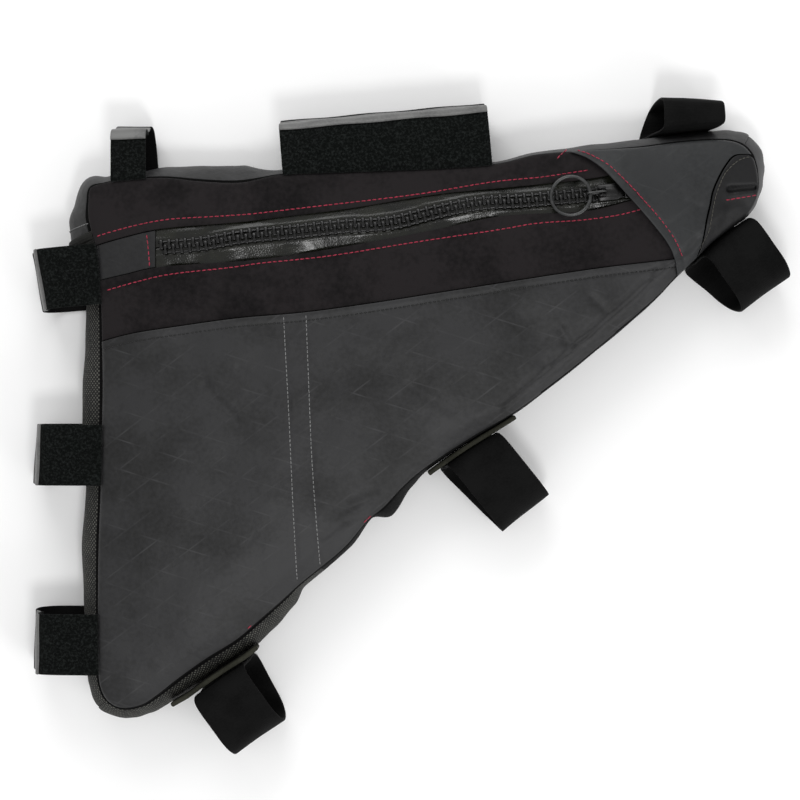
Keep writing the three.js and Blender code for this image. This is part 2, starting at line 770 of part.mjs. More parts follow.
function zipRing() {
  const ring = new THREE.TorusGeometry(ringRadius, ringWire / 2, 6, 24);
  ring.rotateY(-ringTip);
  return ring.applyMatrix4(chainFrame(ringAlong, teethTop + ringRise));
}

// The bail: a flat oval of wire standing on edge, through the ring and round the slider's pin.
function zipBail() {
  const frame = chainFrame(sliderAlong, teethTop + seamGap);
  const ringEdge = new THREE.Vector3(ringRadius * Math.cos(ringTip), 0, ringRadius * Math.sin(ringTip))
    .applyMatrix4(chainFrame(ringAlong, teethTop + ringRise))
    .applyMatrix4(frame.clone().invert());
  const pin = new THREE.Vector3(pinPlace, 0, pinHeight);
  const turnSteps = 6;
  const axis = Math.atan2(ringEdge.z - pin.z, ringEdge.x - pin.x);
  const points = [];
  for (const [center, turn] of [[pin, Math.PI / 2], [ringEdge, -Math.PI / 2]]) {
    for (let step = 0; step < turnSteps; step += 1) {
      const angle = axis + turn + step / (turnSteps - 1) * Math.PI;
      points.push(new THREE.Vector3(
        center.x + Math.cos(angle) * bailRoom, 0, center.z + Math.sin(angle) * bailRoom,
      ));
    }
  }
  return wireLoop(points, bailWire).applyMatrix4(frame);
}

// A closed loop of round wire in the XZ plane.
function wireLoop(points, wire) {
  const sectionSides = 6;
  const count = points.length;
  const positions = [];
  const indices = [];
  const flat = new THREE.Vector3(0, 1, 0);
  for (let index = 0; index < count; index += 1) {
    const tangent = new THREE.Vector3()
      .subVectors(points[(index + 1) % count], points[(index + count - 1) % count]).normalize();
    const normal = new THREE.Vector3().crossVectors(tangent, flat);
    for (let side = 0; side < sectionSides; side += 1) {
      const angle = side / sectionSides * Math.PI * 2;
      const point = points[index].clone()
        .addScaledVector(normal, Math.cos(angle) * wire / 2)
        .addScaledVector(flat, Math.sin(angle) * wire / 2);
      positions.push(point.x, point.y, point.z);
      const here = index * sectionSides + side;
      const hereTurned = index * sectionSides + (side + 1) % sectionSides;
      const next = (index + 1) % count * sectionSides + side;
      const nextTurned = (index + 1) % count * sectionSides + (side + 1) % sectionSides;
      indices.push(here, next, nextTurned, here, nextTurned, hereTurned);
    }
  }
  return facingOut(positions, indices);
}

// The hood, raised over the bands and standing off them at its hem, above the zip.
const hem = lineThrough(hemLine);
const zipAtHem = hem.reduce((best, point) => (
  distanceToLine(point.x, point.y, chain) < distanceToLine(best.x, best.y, chain) ? point : best
));

function hoodRise(x, y) {
  const underEdge = [underHoodTop, underHoodBottom];
  const pastUnder = isPast(x, y, underEdge) ? distanceToLine(x, y, underEdge) : 0;
  const settled = THREE.MathUtils.smoothstep(pastUnder, hoodSettleStart, hoodSettle);
  const fromHem = distanceToLine(x, y, hem) / hoodFlareReach;
  const fromZip = Math.hypot(x - zipAtHem.x, y - zipAtHem.y) / hoodFlareReach;
  const flare = hoodFlare * Math.exp(-2 * fromZip * fromZip - fromHem);
  return (cloth + hoodLift) * (1 - settled) + flare;
}

function isPast(x, y, line) {
  const [top, bottom] = line;
  return (bottom.x - top.x) * (y - top.y) - (bottom.y - top.y) * (x - top.x) > 0;
}

function hood() {
  const left = [...hem].reverse();
  const top = perimeterPiece(rowOf('hood top'), rowOf('port top'));
  const bottom = perimeterPiece(rowOf('hood bottom'), rowOf('under hood bottom'));
  const right = lineThrough(portLine).reverse();
  left[0] = bottom[0].clone();
  left[left.length - 1] = top[0].clone();
  const shifted = right.map((point) => new THREE.Vector3(point.x - seamGap / 2, point.y, 0));
  shifted[0] = lastOf(bottom).clone();
  shifted[shifted.length - 1] = lastOf(top).clone();
  return frontPatch({ bottom, top, left, right: shifted }, 11, 10, cloth, hoodRise);
}

// The leaf-shaped port panel between the hood's end and the nose seam. Its two tips stop
// short of the places where those lines meet.
function portPanel() {
  const inside = lineThrough(portLine).reverse();
  const outside = perimeterPiece(rowOf('under hood bottom'), rowOf('port top'));
  const steps = 13;
  const tips = { low: 0.04, high: 0.95 };
  const outer = [];
  const inner = [];
  for (let i = 0; i <= steps; i += 1) {
    const share = THREE.MathUtils.lerp(tips.low, tips.high, i / steps);
    const from = pointAlong(inside, share);
    const to = pointAlong(outside, share);
    from.addScaledVector(new THREE.Vector3().subVectors(to, from).normalize(), lidGap + seamGap);
    const row = [0, 0.33, 0.67, 1].map((part) => new THREE.Vector3().lerpVectors(from, to, part));
    row.forEach((point) => {
      point.z = frontHeight(point.x, point.y);
    });
    outer.push(row);
    inner.push(row.map((point) => new THREE.Vector3(point.x, point.y, point.z - cloth)));
  }
  return thickSheet(outer, inner);
}

// The perimeter's places in small steps, each with its row.
const rowStep = 0.05;
const perimeterPlaces = [];
for (let row = 0; row < sections.length; row += rowStep) {
  perimeterPlaces.push({ row, ...perimeterAt(row) });
}

// The nearest perimeter row to a place.
function nearestRow(along, up) {
  const target = placeOf(along, up);
  const away = (place) => Math.hypot(place.x - target.x, place.y - target.y);
  return perimeterPlaces.reduce((best, place) => (away(place) < away(best) ? place : best)).row;
}

// A strap's own frame: out of the bag, along the tube that it holds, and up.
function strapFrame(strap) {
  const place = perimeterAt(nearestRow(strap.along, strap.up));
  const turn = THREE.MathUtils.degToRad(strap.turn);
  return {
    x: place.x,
    y: place.y,
    outX: Math.cos(turn),
    outY: Math.sin(turn),
    high: frontHeight(place.x, place.y),
  };
}

function strapPoint(frame, out, side, z) {
  return new THREE.Vector3(
    frame.x + frame.outX * out - frame.outY * side,
    frame.y + frame.outY * out + frame.outX * side,
    z,
  );
}

// How far the bag reaches out in a strap's frame, at one place across the strap and at the
// given shares of the wall. Only wall that faces the strap's way and lies close by counts.
const leastFacing = 0.5;
const sideWindow = 2.5;
const seamOnly = [0];
const backOnly = [1];
const wholeWall = [0, 0.125, 0.25, 0.375, 0.5, 0.625, 0.75, 0.875, 1];

function wallReach(frame, side, shares) {
  let reach = -Infinity;
  for (const place of perimeterPlaces) {
    const dx = place.x - frame.x;
    const dy = place.y - frame.y;
    const here = -dx * frame.outY + dy * frame.outX;
    const facing = place.outX * frame.outX + place.outY * frame.outY;
    const close = Math.abs(here - side) < sideWindow && Math.hypot(dx, dy) < topPadWidth;
    if (facing > leastFacing && close) {
      for (const share of shares) {
        const point = wallPoint(place.row, share);
        const out = (point.x - frame.x) * frame.outX + (point.y - frame.y) * frame.outY;
        reach = Math.max(reach, out);
      }
    }
  }
  return reach;
}

// A band swept across a strap's width from a profile of (out, z) points. foot says how much
// further out the wall stands at each place across, and the profile's near half follows it.
function bandFromProfile(frame, strap, profile, thickness, ring, foot) {
  const across = Math.ceil(strap.width / narrowWebbing);
  const count = profile.length;
  const base = Math.min(...profile.map((point) => point.x));
  const room = strap.reach * bagDepth - base;
  const outer = [];
  const inner = [];
  for (let index = 0; index < count; index += 1) {
    const before = profile[ring ? (index + count - 1) % count : Math.max(index - 1, 0)];
    const after = profile[ring ? (index + 1) % count : Math.min(index + 1, count - 1)];
    const normal = new THREE.Vector2(after.y - before.y, before.x - after.x).normalize();
    const footShare = Math.max(0, 1 - 2 * (profile[index].x - base) / room);
    const place = (side, half) => {
      const z = Math.max(profile[index].y + normal.y * half, groundGap);
      const skewed = side + strap.skew * bagDepth * (1 - z / frame.high);
      const out = profile[index].x + normal.x * half + foot(skewed) * footShare;
      const slant = strap.slant * side * Math.max(0, (out - base) / room);
      return strapPoint(frame, out + slant, skewed, z);
    };
    const sides = Array.from({ length: across + 1 }, (_, k) => (k / across - 0.5) * strap.width);
    outer.push(sides.map((side) => place(side, thickness / 2)));
    inner.push(sides.map((side) => place(side, -thickness / 2)));
  }
  return thickSheet(outer, inner, ring);
}

// A smooth profile through a few (out, z) points.
function profileThrough(points, steps, ring = false) {
  const curve = new THREE.CatmullRomCurve3(
    points.map((point) => new THREE.Vector3(point.x, point.y, 0)), ring, 'centripetal',
  );
  const smooth = curve.getPoints(steps);
  if (ring) {
    smooth.pop();
  }
  return smooth.map((point) => new THREE.Vector2(point.x, point.y));
}

// The few points that the loop-pile half of a strap runs through, out of the front seam.
function loopHalfPoints(frame, strap) {
  const start = wallReach(frame, 0, seamOnly) + footGap;
  return namedRows(loopHalfProfile).map((row) => new THREE.Vector2(
    start + row.out * strap.reach * bagDepth,
    frame.high + webbing / 2 - row.drop * bagDepth,
  ));
}

// How far the wall stands out at a place across a strap, over its place in the middle.
function footOf(frame, shares) {
  const middle = wallReach(frame, 0, shares);
  return (side) => wallReach(frame, side, shares) - middle;
}

// The loop-pile half of a hook-and-loop strap: out of the front seam, over the tube.
function loopHalf(strap) {
  const frame = strapFrame(strap);
  const profile = profileThrough(loopHalfPoints(frame, strap), 11);
  return bandFromProfile(frame, strap, profile, webbing, false, footOf(frame, seamOnly));
}

// The hook half: out of the back seam along the ground, up, and pressed on the loop half's end.
function hookHalf(strap) {
  const frame = strapFrame(strap);
  const loopPoints = loopHalfPoints(frame, strap);
  const start = wallReach(frame, 0, backOnly) + footGap;
  const end = wallReach(frame, 0, seamOnly) + strap.reach * bagDepth;
  const ground = tabThickness / 2 + groundGap;
  const rising = namedRows(hookHalfProfile).map((row) => new THREE.Vector2(
    end + row.past * bagDepth, ground + row.rise * frame.high,
  ));
  const hug = (webbing + tabThickness) / 2 + seamGap + tabPlay;
  const last = loopPoints.length - 1;
  const pressed = [last, last - 1].map((index) => {
    const run = new THREE.Vector2().subVectors(loopPoints[index], loopPoints[index - 1]).normalize();
    return new THREE.Vector2(loopPoints[index].x - run.y * hug, loopPoints[index].y + run.x * hug);
  });
  const profile = profileThrough([
    new THREE.Vector2(start, ground),
    new THREE.Vector2((start + rising[0].x) / 2, ground),
    ...rising,
    ...pressed,
  ], 13);
  return bandFromProfile(frame, strap, profile, tabThickness, false, footOf(frame, backOnly));
}

// A plain strap: one closed band that stands against the wall, or against its keeper.
function loopStrap(strap) {
  const frame = strapFrame(strap);
  const wall = wallReach(frame, 0, wholeWall);
  const keeper = strap.keeper * (keeperThickness + lidGap);
  const near = wall + keeper + seamGap + strapPlay + webbing / 2;
  const far = strap.reach * bagDepth;
  const low = webbing / 2 + groundGap;
  const high = frame.high - webbing - seamGap;
  const profile = profileThrough(namedRows(plainStrapProfile).map((row) => new THREE.Vector2(
    THREE.MathUtils.lerp(near, far, row.out), THREE.MathUtils.lerp(low, high, row.rise),
  )), 22, true);
  return bandFromProfile(frame, strap, profile, webbing, true, footOf(frame, wholeWall));
}

// A keeper: a stiff strip of webbing sewn along the wall, longer than its strap is wide.
function keeperStrip(strap) {
  const frame = strapFrame(strap);
  const half = strap.width / 2 + keeperOverhang;
  const middle = nearestRow(strap.along, strap.up);
  const ends = [-1, 1].map((way) => {
    let row = middle;
    let place = perimeterAt(row);
    while (Math.hypot(place.x - frame.x, place.y - frame.y) < half) {
      row += way * rowStep;
      place = perimeterAt(row);
    }
    return row;
  });
  const proud = lidGap + keeperThickness;
  return wallStrip(ends[0], ends[1], 7, keeperFrom, keeperTo, 2, proud, keeperThickness);
}

// The binding round the hem of the corner piece of the wall.
function cornerBinding() {
  const hemRow = rowOf('corner hem');
  const nextRow = perimeterPiece(hemRow, hemRow + 1);
  const spread = bindingWidth / 2 / nextRow[0].distanceTo(lastOf(nextRow));
  const proud = 2 * seamGap + bindingThickness;
  const from = hemRow - spread;
  return wallStrip(from, hemRow + spread, 2, bindingFrom, bindingTo, 8, proud, bindingThickness);
}

// The assembly.
const bag = new THREE.Group();

function addPart(name, geometry, finish) {
  const mesh = new THREE.Mesh(geometry, new THREE.MeshStandardMaterial(finishes[finish]));
  mesh.name = name;
  bag.add(mesh);
}

// The wall's four stretches stop this far from each other, as a share of a perimeter row.
const rowGap = 0.02;
addPart('back_panel', backPanel(), 'packCloth');
addPart('gusset_seat_tube', wallStrip(
  rowOf('corner hem') + rowGap, rowOf('bottom corner') - rowGap, 22, 0, 1, 5, 0, cloth,
), 'packCloth');
addPart('gusset_down_tube', wallStrip(
  rowOf('bottom corner') + rowGap, rowOf('nose bottom') - rowGap, 34, 0, 1, 5, 0, cloth,
), 'packCloth');
addPart('gusset_nose', wallStrip(
  rowOf('nose bottom') + rowGap, rowOf('nose top') - rowGap, 8, 0, 1, 5, 0, cloth,
), 'laminate');
addPart('gusset_top', wallStrip(
  rowOf('nose top') + rowGap, sections.length + rowOf('corner hem') - rowGap, 30, 0, 1, 5, 0, cloth,
), 'laminate');
addPart('corner_binding', cornerBinding(), 'packCloth');
addPart('front_lower_panel', frontLowerPanel(), 'laminate');
addPart('front_lower_band', frontLowerBand(), 'blackCloth');
addPart('front_upper_band', frontUpperBand(), 'blackCloth');
addPart('garage_tab', garageTab(), 'laminate');
addPart('zip_tape_upper', zipTape(true), 'zipTape');
addPart('zip_tape_lower', zipTape(false), 'zipTape');
addPart('zip_teeth_upper', zipTeeth(true), 'zipTape');
addPart('zip_teeth_lower', zipTeeth(false), 'zipTape');
addPart('zip_slider', zipSlider(), 'zipMetal');
addPart('zip_bail', zipBail(), 'zipMetal');
addPart('zip_ring_pull', zipRing(), 'zipMetal');
addPart('hood', hood(), 'laminate');
addPart('port_panel', portPanel(), 'laminate');
for (const strap of namedRows(tabStrapTable)) {
  addPart(`${strap.name}_loop`, loopHalf(strap), 'loopPile');
  addPart(`${strap.name}_hook`, hookHalf(strap), 'tabLaminate');
}
for (const strap of namedRows(loopStrapTable)) {
  addPart(strap.name, loopStrap(strap), 'strapBack');
  if (strap.keeper) {
    addPart(`${strap.name}_keeper`, keeperStrip(strap), 'keeperWeb');
  }
}

// The origin: on the ground, under the middle of the whole bag.
const whole = new THREE.Box3().setFromObject(bag);
const center = whole.getCenter(new THREE.Vector3());
bag.position.set(-center.x, -center.y, -whole.min.z);
bag.updateMatrixWorld(true);

export default bag;
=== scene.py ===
import math
from collections import namedtuple

import bpy
import numpy as np
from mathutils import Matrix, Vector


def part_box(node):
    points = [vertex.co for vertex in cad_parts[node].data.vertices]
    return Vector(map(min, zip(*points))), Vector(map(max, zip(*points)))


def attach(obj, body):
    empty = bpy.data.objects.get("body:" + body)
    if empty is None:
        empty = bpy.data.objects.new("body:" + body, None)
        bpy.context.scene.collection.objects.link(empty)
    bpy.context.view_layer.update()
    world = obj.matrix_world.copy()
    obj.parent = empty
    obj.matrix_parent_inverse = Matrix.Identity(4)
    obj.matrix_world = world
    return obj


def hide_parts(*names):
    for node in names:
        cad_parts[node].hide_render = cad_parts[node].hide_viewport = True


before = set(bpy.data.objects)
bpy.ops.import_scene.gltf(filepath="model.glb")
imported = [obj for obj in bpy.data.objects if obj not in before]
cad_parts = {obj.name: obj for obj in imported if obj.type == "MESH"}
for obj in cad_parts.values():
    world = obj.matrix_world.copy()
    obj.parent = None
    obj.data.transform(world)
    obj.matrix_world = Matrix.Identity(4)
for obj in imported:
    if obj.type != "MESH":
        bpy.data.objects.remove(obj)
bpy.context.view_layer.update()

# A bicycle frame bag on its back panel. Sizes are in millimetres, in the model's own table
# frame: x towards the nose, y towards the top tube, z out of the front.
MM = 0.001
BAG_LENGTH = 420.0
BAG_HEIGHT = 358.0
BAG_DEPTH = 50.0
CLOTH = 1.2
SEAM_GAP = 0.3
LID_GAP = 0.5
FRONT_CROWN = 9.0
CROWN_REACH = 26.0
EDGE_ROLL = 4.5
ROLL_WIDTH = 12.0
REAR_ROLL = 0.3
TOOTH_PITCH = 5.0
TOOTH_REACH = 4.7
TOOTH_HEIGHT = 1.9
TAPE_OVERLAP = 3.0
TAPE_THICKNESS = 0.9
TAPE_SLIT = 0.5
SLIDER_LENGTH = 16.0
SLIDER_WIDTH = 10.5
SLIDER_THICKNESS = 1.7
SLIDER_PIN = 1.3
RING_DIAMETER = 26.5
RING_WIRE = 2.2
RING_TILT = 8.0
BAIL_WIRE = 1.3
BAIL_SPAN = 7.2
HOOD_LIFT = 0.6
HOOD_FLARE = 4.6
HOOD_FLARE_REACH = 34.0
HOOD_SETTLE = (4.0, 24.0)
WEBBING = 1.7
TAB_THICKNESS = 1.1
FOOT_GAP = 0.5
GROUND_GAP = 0.05
KEEPER_THICKNESS = 3.0
KEEPER_OVERHANG = 13.0
STRAP_WIDTH = 38.0
NARROW_STRAP_WIDTH = 22.0
TOP_PAD_WIDTH = 130.5

# Soft detail that is only drawn here.
SEAM_DROP = 2.3
SEAM_RADIUS = 3.2
# How far down each side wall from the front seam its cloth is painted dark, as painted shade in the
# seam.
SEAM_SHADE = 2.9
FOLD_RADIUS = 0.8
# How wide a rim of the front panel and of the garage tab beside the seam is painted dark, as painted
# shade.
PAINTED_SHADE_RIM = 0.9
CREASE_RELIEF = 2.0
RIPPLE_FADE = 10.0
# Where along the length the down tube's wall starts to be painted near black, as painted shade.
PAINTED_SHADE_WALL_FROM = 0.344
RED_STITCH = 3.4
DARK_STITCH = 2.7
THREAD = 0.72
PANEL_STITCH_INSET = 5.3
PANEL_STITCH_SPAN = (0.022, 0.88)
PORT_SLIT_DEPTH = 3.4
PORT_SLIT_HALF = 1.7
PORT_SHARES = (0.03, 0.96)
PORT_WIDTH = 30.0
UP = np.array([0.0, 0.0, 1.0])

# How fine each grid is.
GRID_STEPS = {
    "front_lower_panel": 2.0, "front_lower_band": 1.6, "front_upper_band": 1.6, "hood": 1.6,
    "garage_tab": 1.5, "port_panel": 1.3, "zip_tape_upper": 1.0, "zip_tape_lower": 1.0,
    "back_panel": 4.0, "corner_binding": 1.5}
WALL_STEPS = (2.2, 2.0)
BAND_STEP = 1.8
KEEPER_STEP = 1.5
STITCH_PATH_STEP = 0.6
LOOP_STEPS = 44
TAB_STEPS = 70
TAB_LAY_STEPS = 60
TAB_LAY_STRIDE = 4
RING_STEPS = 96
RING_SIDES = 16
BAIL_SIDES = 12
BAIL_END_STEPS = 18
THREAD_SIDES = 6
BINDING_STEPS = 33
CORNER_STITCH_STEPS = 90
LEAST_SIDE = 2.0
MOST_RIM = 0.1
RIM_SHARES = np.array([0, 0.1, 0.35, 0.7])

# Camera, from the photograph: straight down, over this place of the table frame.
CAMERA_PLACE = (194.2, 192.3)
CAMERA_HEIGHT = 1200.0
SENSOR_WIDTH = 36.0
LENS = 83.16

# The seam round the front, anticlockwise from the top rear corner: shares of the length and
# height, then lean and belly of the wall as shares of the depth.
PERIMETER_ROWS = [
    ("top rear corner", 0.003, 0.906, 0.10, 0.16),
    ("", 0.000, 0.885, 0.13, 0.18),
    ("", 0.000, 0.854, 0.20, 0.22),
    ("corner hem", 0.007, 0.821, 0.23, 0.24),
    ("tab top", 0.011, 0.806, 0.18, 0.19),
    ("tab bottom", 0.016, 0.744, 0.14, 0.15),
    ("", 0.019, 0.692, 0.18, 0.19),
    ("panel top", 0.020, 0.639, 0.16, 0.21),
    ("", 0.021, 0.565, 0.17, 0.24),
    ("", 0.020, 0.495, 0.17, 0.24),
    ("", 0.018, 0.385, 0.13, 0.20),
    ("", 0.015, 0.285, 0.15, 0.21),
    ("", 0.014, 0.190, 0.13, 0.19),
    ("", 0.014, 0.094, 0.11, 0.17),
    ("", 0.017, 0.040, 0.11, 0.17),
    ("bottom corner", 0.027, 0.014, 0.12, 0.18),
    ("", 0.047, 0.000, 0.10, 0.15),
    ("", 0.080, 0.005, 0.09, 0.13),
    ("", 0.104, 0.023, 0.10, 0.14),
    ("", 0.131, 0.048, 0.12, 0.17),
    ("", 0.175, 0.085, 0.12, 0.17),
    ("", 0.221, 0.119, 0.12, 0.16),
    ("", 0.255, 0.153, 0.11, 0.15),
    ("", 0.289, 0.188, 0.08, 0.12),
    ("", 0.313, 0.214, 0.02, 0.07),
    ("", 0.336, 0.236, 0.03, 0.06),
    ("", 0.381, 0.280, 0.02, 0.05),
    ("", 0.417, 0.329, 0.00, 0.02),
    ("", 0.438, 0.349, 0.07, 0.12),
    ("", 0.472, 0.391, 0.05, 0.07),
    ("", 0.499, 0.417, 0.02, 0.05),
    ("", 0.567, 0.470, 0.01, 0.04),
    ("", 0.628, 0.512, 0.00, 0.03),
    ("", 0.700, 0.573, 0.00, 0.03),
    ("", 0.774, 0.644, 0.00, 0.03),
    ("", 0.849, 0.720, 0.00, 0.02),
    ("hood bottom", 0.875, 0.753, 0.00, 0.03),
    ("under hood bottom", 0.904, 0.786, 0.00, 0.03),
    ("", 0.930, 0.816, 0.00, 0.03),
    ("", 0.960, 0.844, 0.00, 0.03),
    ("nose bottom", 0.983, 0.866, 0.01, 0.04),
    ("", 0.992, 0.889, 0.02, 0.07),
    ("", 0.994, 0.920, 0.06, 0.12),
    ("", 0.990, 0.948, 0.10, 0.16),
    ("port top", 0.984, 0.965, 0.12, 0.19),
    ("nose top", 0.973, 0.979, 0.12, 0.19),
    ("", 0.958, 0.987, 0.10, 0.16),
    ("", 0.933, 0.990, 0.08, 0.14),
    ("", 0.878, 0.986, 0.07, 0.13),
    ("", 0.819, 0.977, 0.06, 0.13),
    ("under hood top", 0.760, 0.972, 0.05, 0.11),
    ("hood top", 0.712, 0.969, 0.04, 0.08),
    ("", 0.663, 0.964, 0.03, 0.07),
    ("", 0.611, 0.949, 0.04, 0.07),
    ("", 0.529, 0.941, 0.03, 0.06),
    ("", 0.444, 0.937, 0.03, 0.06),
    ("", 0.350, 0.933, 0.03, 0.06),
    ("", 0.280, 0.929, 0.05, 0.09),
    ("", 0.228, 0.916, 0.14, 0.20),
    ("", 0.166, 0.918, 0.13, 0.19),
    ("", 0.113, 0.924, 0.10, 0.15),
    ("", 0.062, 0.921, 0.07, 0.10),
    ("", 0.024, 0.915, 0.07, 0.10),
]

# Lines on the front, as (along, up) shares of the length and height.
LINES = {
    "window top": [
        (0.011, 0.806), (0.055, 0.820), (0.102, 0.832), (0.226, 0.845), (0.374, 0.866),
        (0.516, 0.893), (0.611, 0.904), (0.748, 0.921), (0.791, 0.932)],
    "window bottom": [
        (0.016, 0.744), (0.055, 0.754), (0.102, 0.766), (0.255, 0.780), (0.400, 0.806),
        (0.516, 0.832), (0.611, 0.855), (0.742, 0.865), (0.824, 0.889)],
    "panel top": [
        (0.020, 0.639), (0.061, 0.651), (0.137, 0.665), (0.226, 0.679), (0.323, 0.689),
        (0.430, 0.706), (0.543, 0.727), (0.641, 0.745), (0.754, 0.765), (0.868, 0.782),
        (0.901, 0.790)],
    "chain": [
        (0.098, 0.800), (0.168, 0.807), (0.226, 0.819), (0.305, 0.828), (0.374, 0.837),
        (0.451, 0.844), (0.516, 0.863), (0.583, 0.878), (0.641, 0.882), (0.748, 0.893),
        (0.806, 0.901)],
    "hem": [
        (0.712, 0.969), (0.737, 0.957), (0.758, 0.939), (0.780, 0.911), (0.794, 0.892),
        (0.814, 0.867), (0.837, 0.837), (0.855, 0.811), (0.866, 0.788), (0.875, 0.753)],
    "port": [
        (0.984, 0.965), (0.957, 0.962), (0.944, 0.946), (0.933, 0.924), (0.924, 0.899),
        (0.920, 0.875), (0.915, 0.849), (0.911, 0.815), (0.904, 0.786)],
    "upper red stitch": [
        (0.012, 0.821), (0.061, 0.837), (0.114, 0.849), (0.191, 0.855), (0.255, 0.861),
        (0.359, 0.875), (0.491, 0.894), (0.611, 0.917), (0.675, 0.924), (0.748, 0.937)],
    "lower red stitch": [
        (0.027, 0.727), (0.061, 0.738), (0.111, 0.752), (0.141, 0.757), (0.214, 0.766),
        (0.255, 0.773), (0.359, 0.786), (0.491, 0.811), (0.611, 0.832), (0.660, 0.842),
        (0.736, 0.849), (0.789, 0.858), (0.826, 0.870)],
    "rear double stitch": [(0.291, 0.682), (0.298, 0.531), (0.304, 0.372), (0.310, 0.224)],
    "front double stitch": [(0.324, 0.685), (0.328, 0.568), (0.333, 0.425), (0.344, 0.248)],
    "tab stitch": [(0.088, 0.826), (0.091, 0.797), (0.093, 0.767)],
    "hood stitch": [
        (0.724, 0.972), (0.746, 0.961), (0.769, 0.944), (0.797, 0.911), (0.821, 0.881),
        (0.846, 0.849), (0.866, 0.818), (0.882, 0.782)],
    "port stitch": [
        (0.981, 0.960), (0.965, 0.954), (0.944, 0.932), (0.933, 0.905), (0.928, 0.886),
        (0.923, 0.852), (0.920, 0.830), (0.904, 0.794)],
    "port slit": [(0.949, 0.903), (0.989, 0.907)],
    "port bar": [(0.943, 0.884), (0.993, 0.894)],
    "flap stitch": [(0.694, 0.955), (0.702, 0.965), (0.710, 0.973)],
    "upper seam tack": [(0.407, 0.322), (0.420, 0.336)],
    "lower seam tack": [(0.235, 0.138), (0.245, 0.148)],
    "edge crease": [
        (0.617, 0.524), (0.705, 0.608), (0.758, 0.661), (0.804, 0.707), (0.866, 0.774),
        (0.893, 0.790), (0.908, 0.810)],
}

# Where the tapes are tilted to the light: place and half length as shares of the length,
# slope, and whether it is the upper tape.
TAPE_TILTS = [
    (0.365, 0.060, 0.30, False), (0.570, 0.040, 0.36, False), (0.770, 0.034, 0.32, False),
    (0.250, 0.045, 0.30, False), (0.145, 0.028, 0.30, False), (0.150, 0.030, 0.40, True),
]
TAPE_TILT_REACH = 3.5
TAPE_SAG = 0.03
TAPE_SAG_LENGTH = 9.0
TAPE_SAG_START = 0.7
TAPE_CRINKLE = 0.05
TAPE_CRINKLE_LENGTHS = [(2.1, 1.3), (3.7, -2.2)]
TAPE_BEAD = 0.45
TAPE_BEAD_WIDTH = 0.7
TAPE_BEAD_REACH = 1.2
TAPE_DROP = 0.15
WINDOW_START = 0.1015
CHAIN_END = 0.806
SLIDER_ALONG = 0.772

# Soft folds: from one place to another (shares), half width and depth (shares of the depth).
MODEL_FOLDS = [
    (0.62, 0.72, 0.72, 0.56, 0.22, 0.035),
    (0.71, 0.64, 0.80, 0.68, 0.14, 0.040),
    (0.68, 0.60, 0.70, 0.57, 0.10, 0.050),
    (0.80, 0.66, 0.83, 0.73, 0.16, 0.030),
    (0.43, 0.60, 0.53, 0.45, 0.26, 0.025),
    (0.13, 0.62, 0.20, 0.45, 0.30, 0.022),
    (0.45, 0.36, 0.38, 0.34, 0.12, 0.045),
    (0.24, 0.86, 0.28, 0.93, 0.16, 0.030),
    (0.04, 0.86, 0.20, 0.88, 0.16, 0.020),
    (0.24, 0.71, 0.60, 0.77, 0.12, -0.014),
    (0.935, 0.80, 0.955, 0.90, 0.07, 0.035),
    (0.945, 0.875, 0.985, 0.89, 0.06, 0.045),
]
# Sharper creases that only show close up, in the same columns; a depth under 0 is a ridge.
CLOSE_CREASES = [
    (0.700, 0.660, 0.715, 0.628, 0.050, 0.012),
    (0.745, 0.715, 0.768, 0.690, 0.045, 0.010),
    (0.715, 0.628, 0.775, 0.660, 0.040, -0.010),
    (0.770, 0.640, 0.795, 0.672, 0.045, 0.014),
    (0.815, 0.690, 0.832, 0.742, 0.045, 0.010),
    (0.385, 0.350, 0.425, 0.372, 0.050, 0.014),
    (0.400, 0.322, 0.452, 0.338, 0.045, -0.010),
    (0.350, 0.300, 0.385, 0.330, 0.050, 0.010),
    (0.175, 0.560, 0.222, 0.500, 0.060, 0.012),
    (0.225, 0.590, 0.262, 0.560, 0.050, 0.009),
    (0.480, 0.560, 0.540, 0.520, 0.080, 0.010),
    (0.110, 0.890, 0.190, 0.905, 0.060, 0.010),
    (0.300, 0.905, 0.420, 0.915, 0.060, 0.010),
    (0.560, 0.770, 0.640, 0.800, 0.060, 0.010),
    (0.680, 0.800, 0.760, 0.795, 0.060, 0.012),
    (0.060, 0.700, 0.160, 0.700, 0.070, 0.010),
    (0.800, 0.940, 0.880, 0.890, 0.070, 0.010),
    (0.860, 0.840, 0.905, 0.870, 0.050, 0.010),
]
# Ripples of the cloth: direction in degrees, length and height in millimetres.
RIPPLES = [(35, 71, 0.42), (-22, 49, 0.28), (81, 37, 0.17), (12, 23, 0.08), (-52, 17, 0.05)]
# How the ripples are bent, along x and along y: size, then lengths down and along.
RIPPLE_BENDS = [(9.0, 41.0, 67.0), (7.0, -37.0, 53.0)]
RIPPLE_TURN = 1.7
# The fold along the edge crease: height, width, and how far it lies from the line.
EDGE_FOLDS = [(1.5, 1.8, (0.0, 0.0)), (-1.2, 2.4, (-2.6, 2.6))]

# The side wall: how it tucks into its seams, its swells (height, length along, length down and
# phase), and the gathers at the bottom corner (their middle and half width in perimeter rows).
WALL_FOOT = 0.9
WALL_TOP_LAP = 0.2
WALL_TUCK = 1.2
WALL_TUCK_REACH = 1.5
WALL_SWELLS = [(0.30, 17.0, 13.0, 0.0), (0.10, 5.3, -5.0, 1.0)]
GATHER_ROWS = (1.5, 2.0)
GATHER_HEIGHT = 0.15
GATHER_LENGTHS = (1.3, 30.0)

# The back panel: its long and short way, its height, and the height and width of its rim and
# of the groove beside it.
BACK_SIZE = (480.0, 240.0)
BACK_HEIGHT = 1.25
BACK_RIM = (0.45, 1.5)
BACK_GROOVE = (0.15, 1.2)
BACK_GROOVE_INSET = 6.0

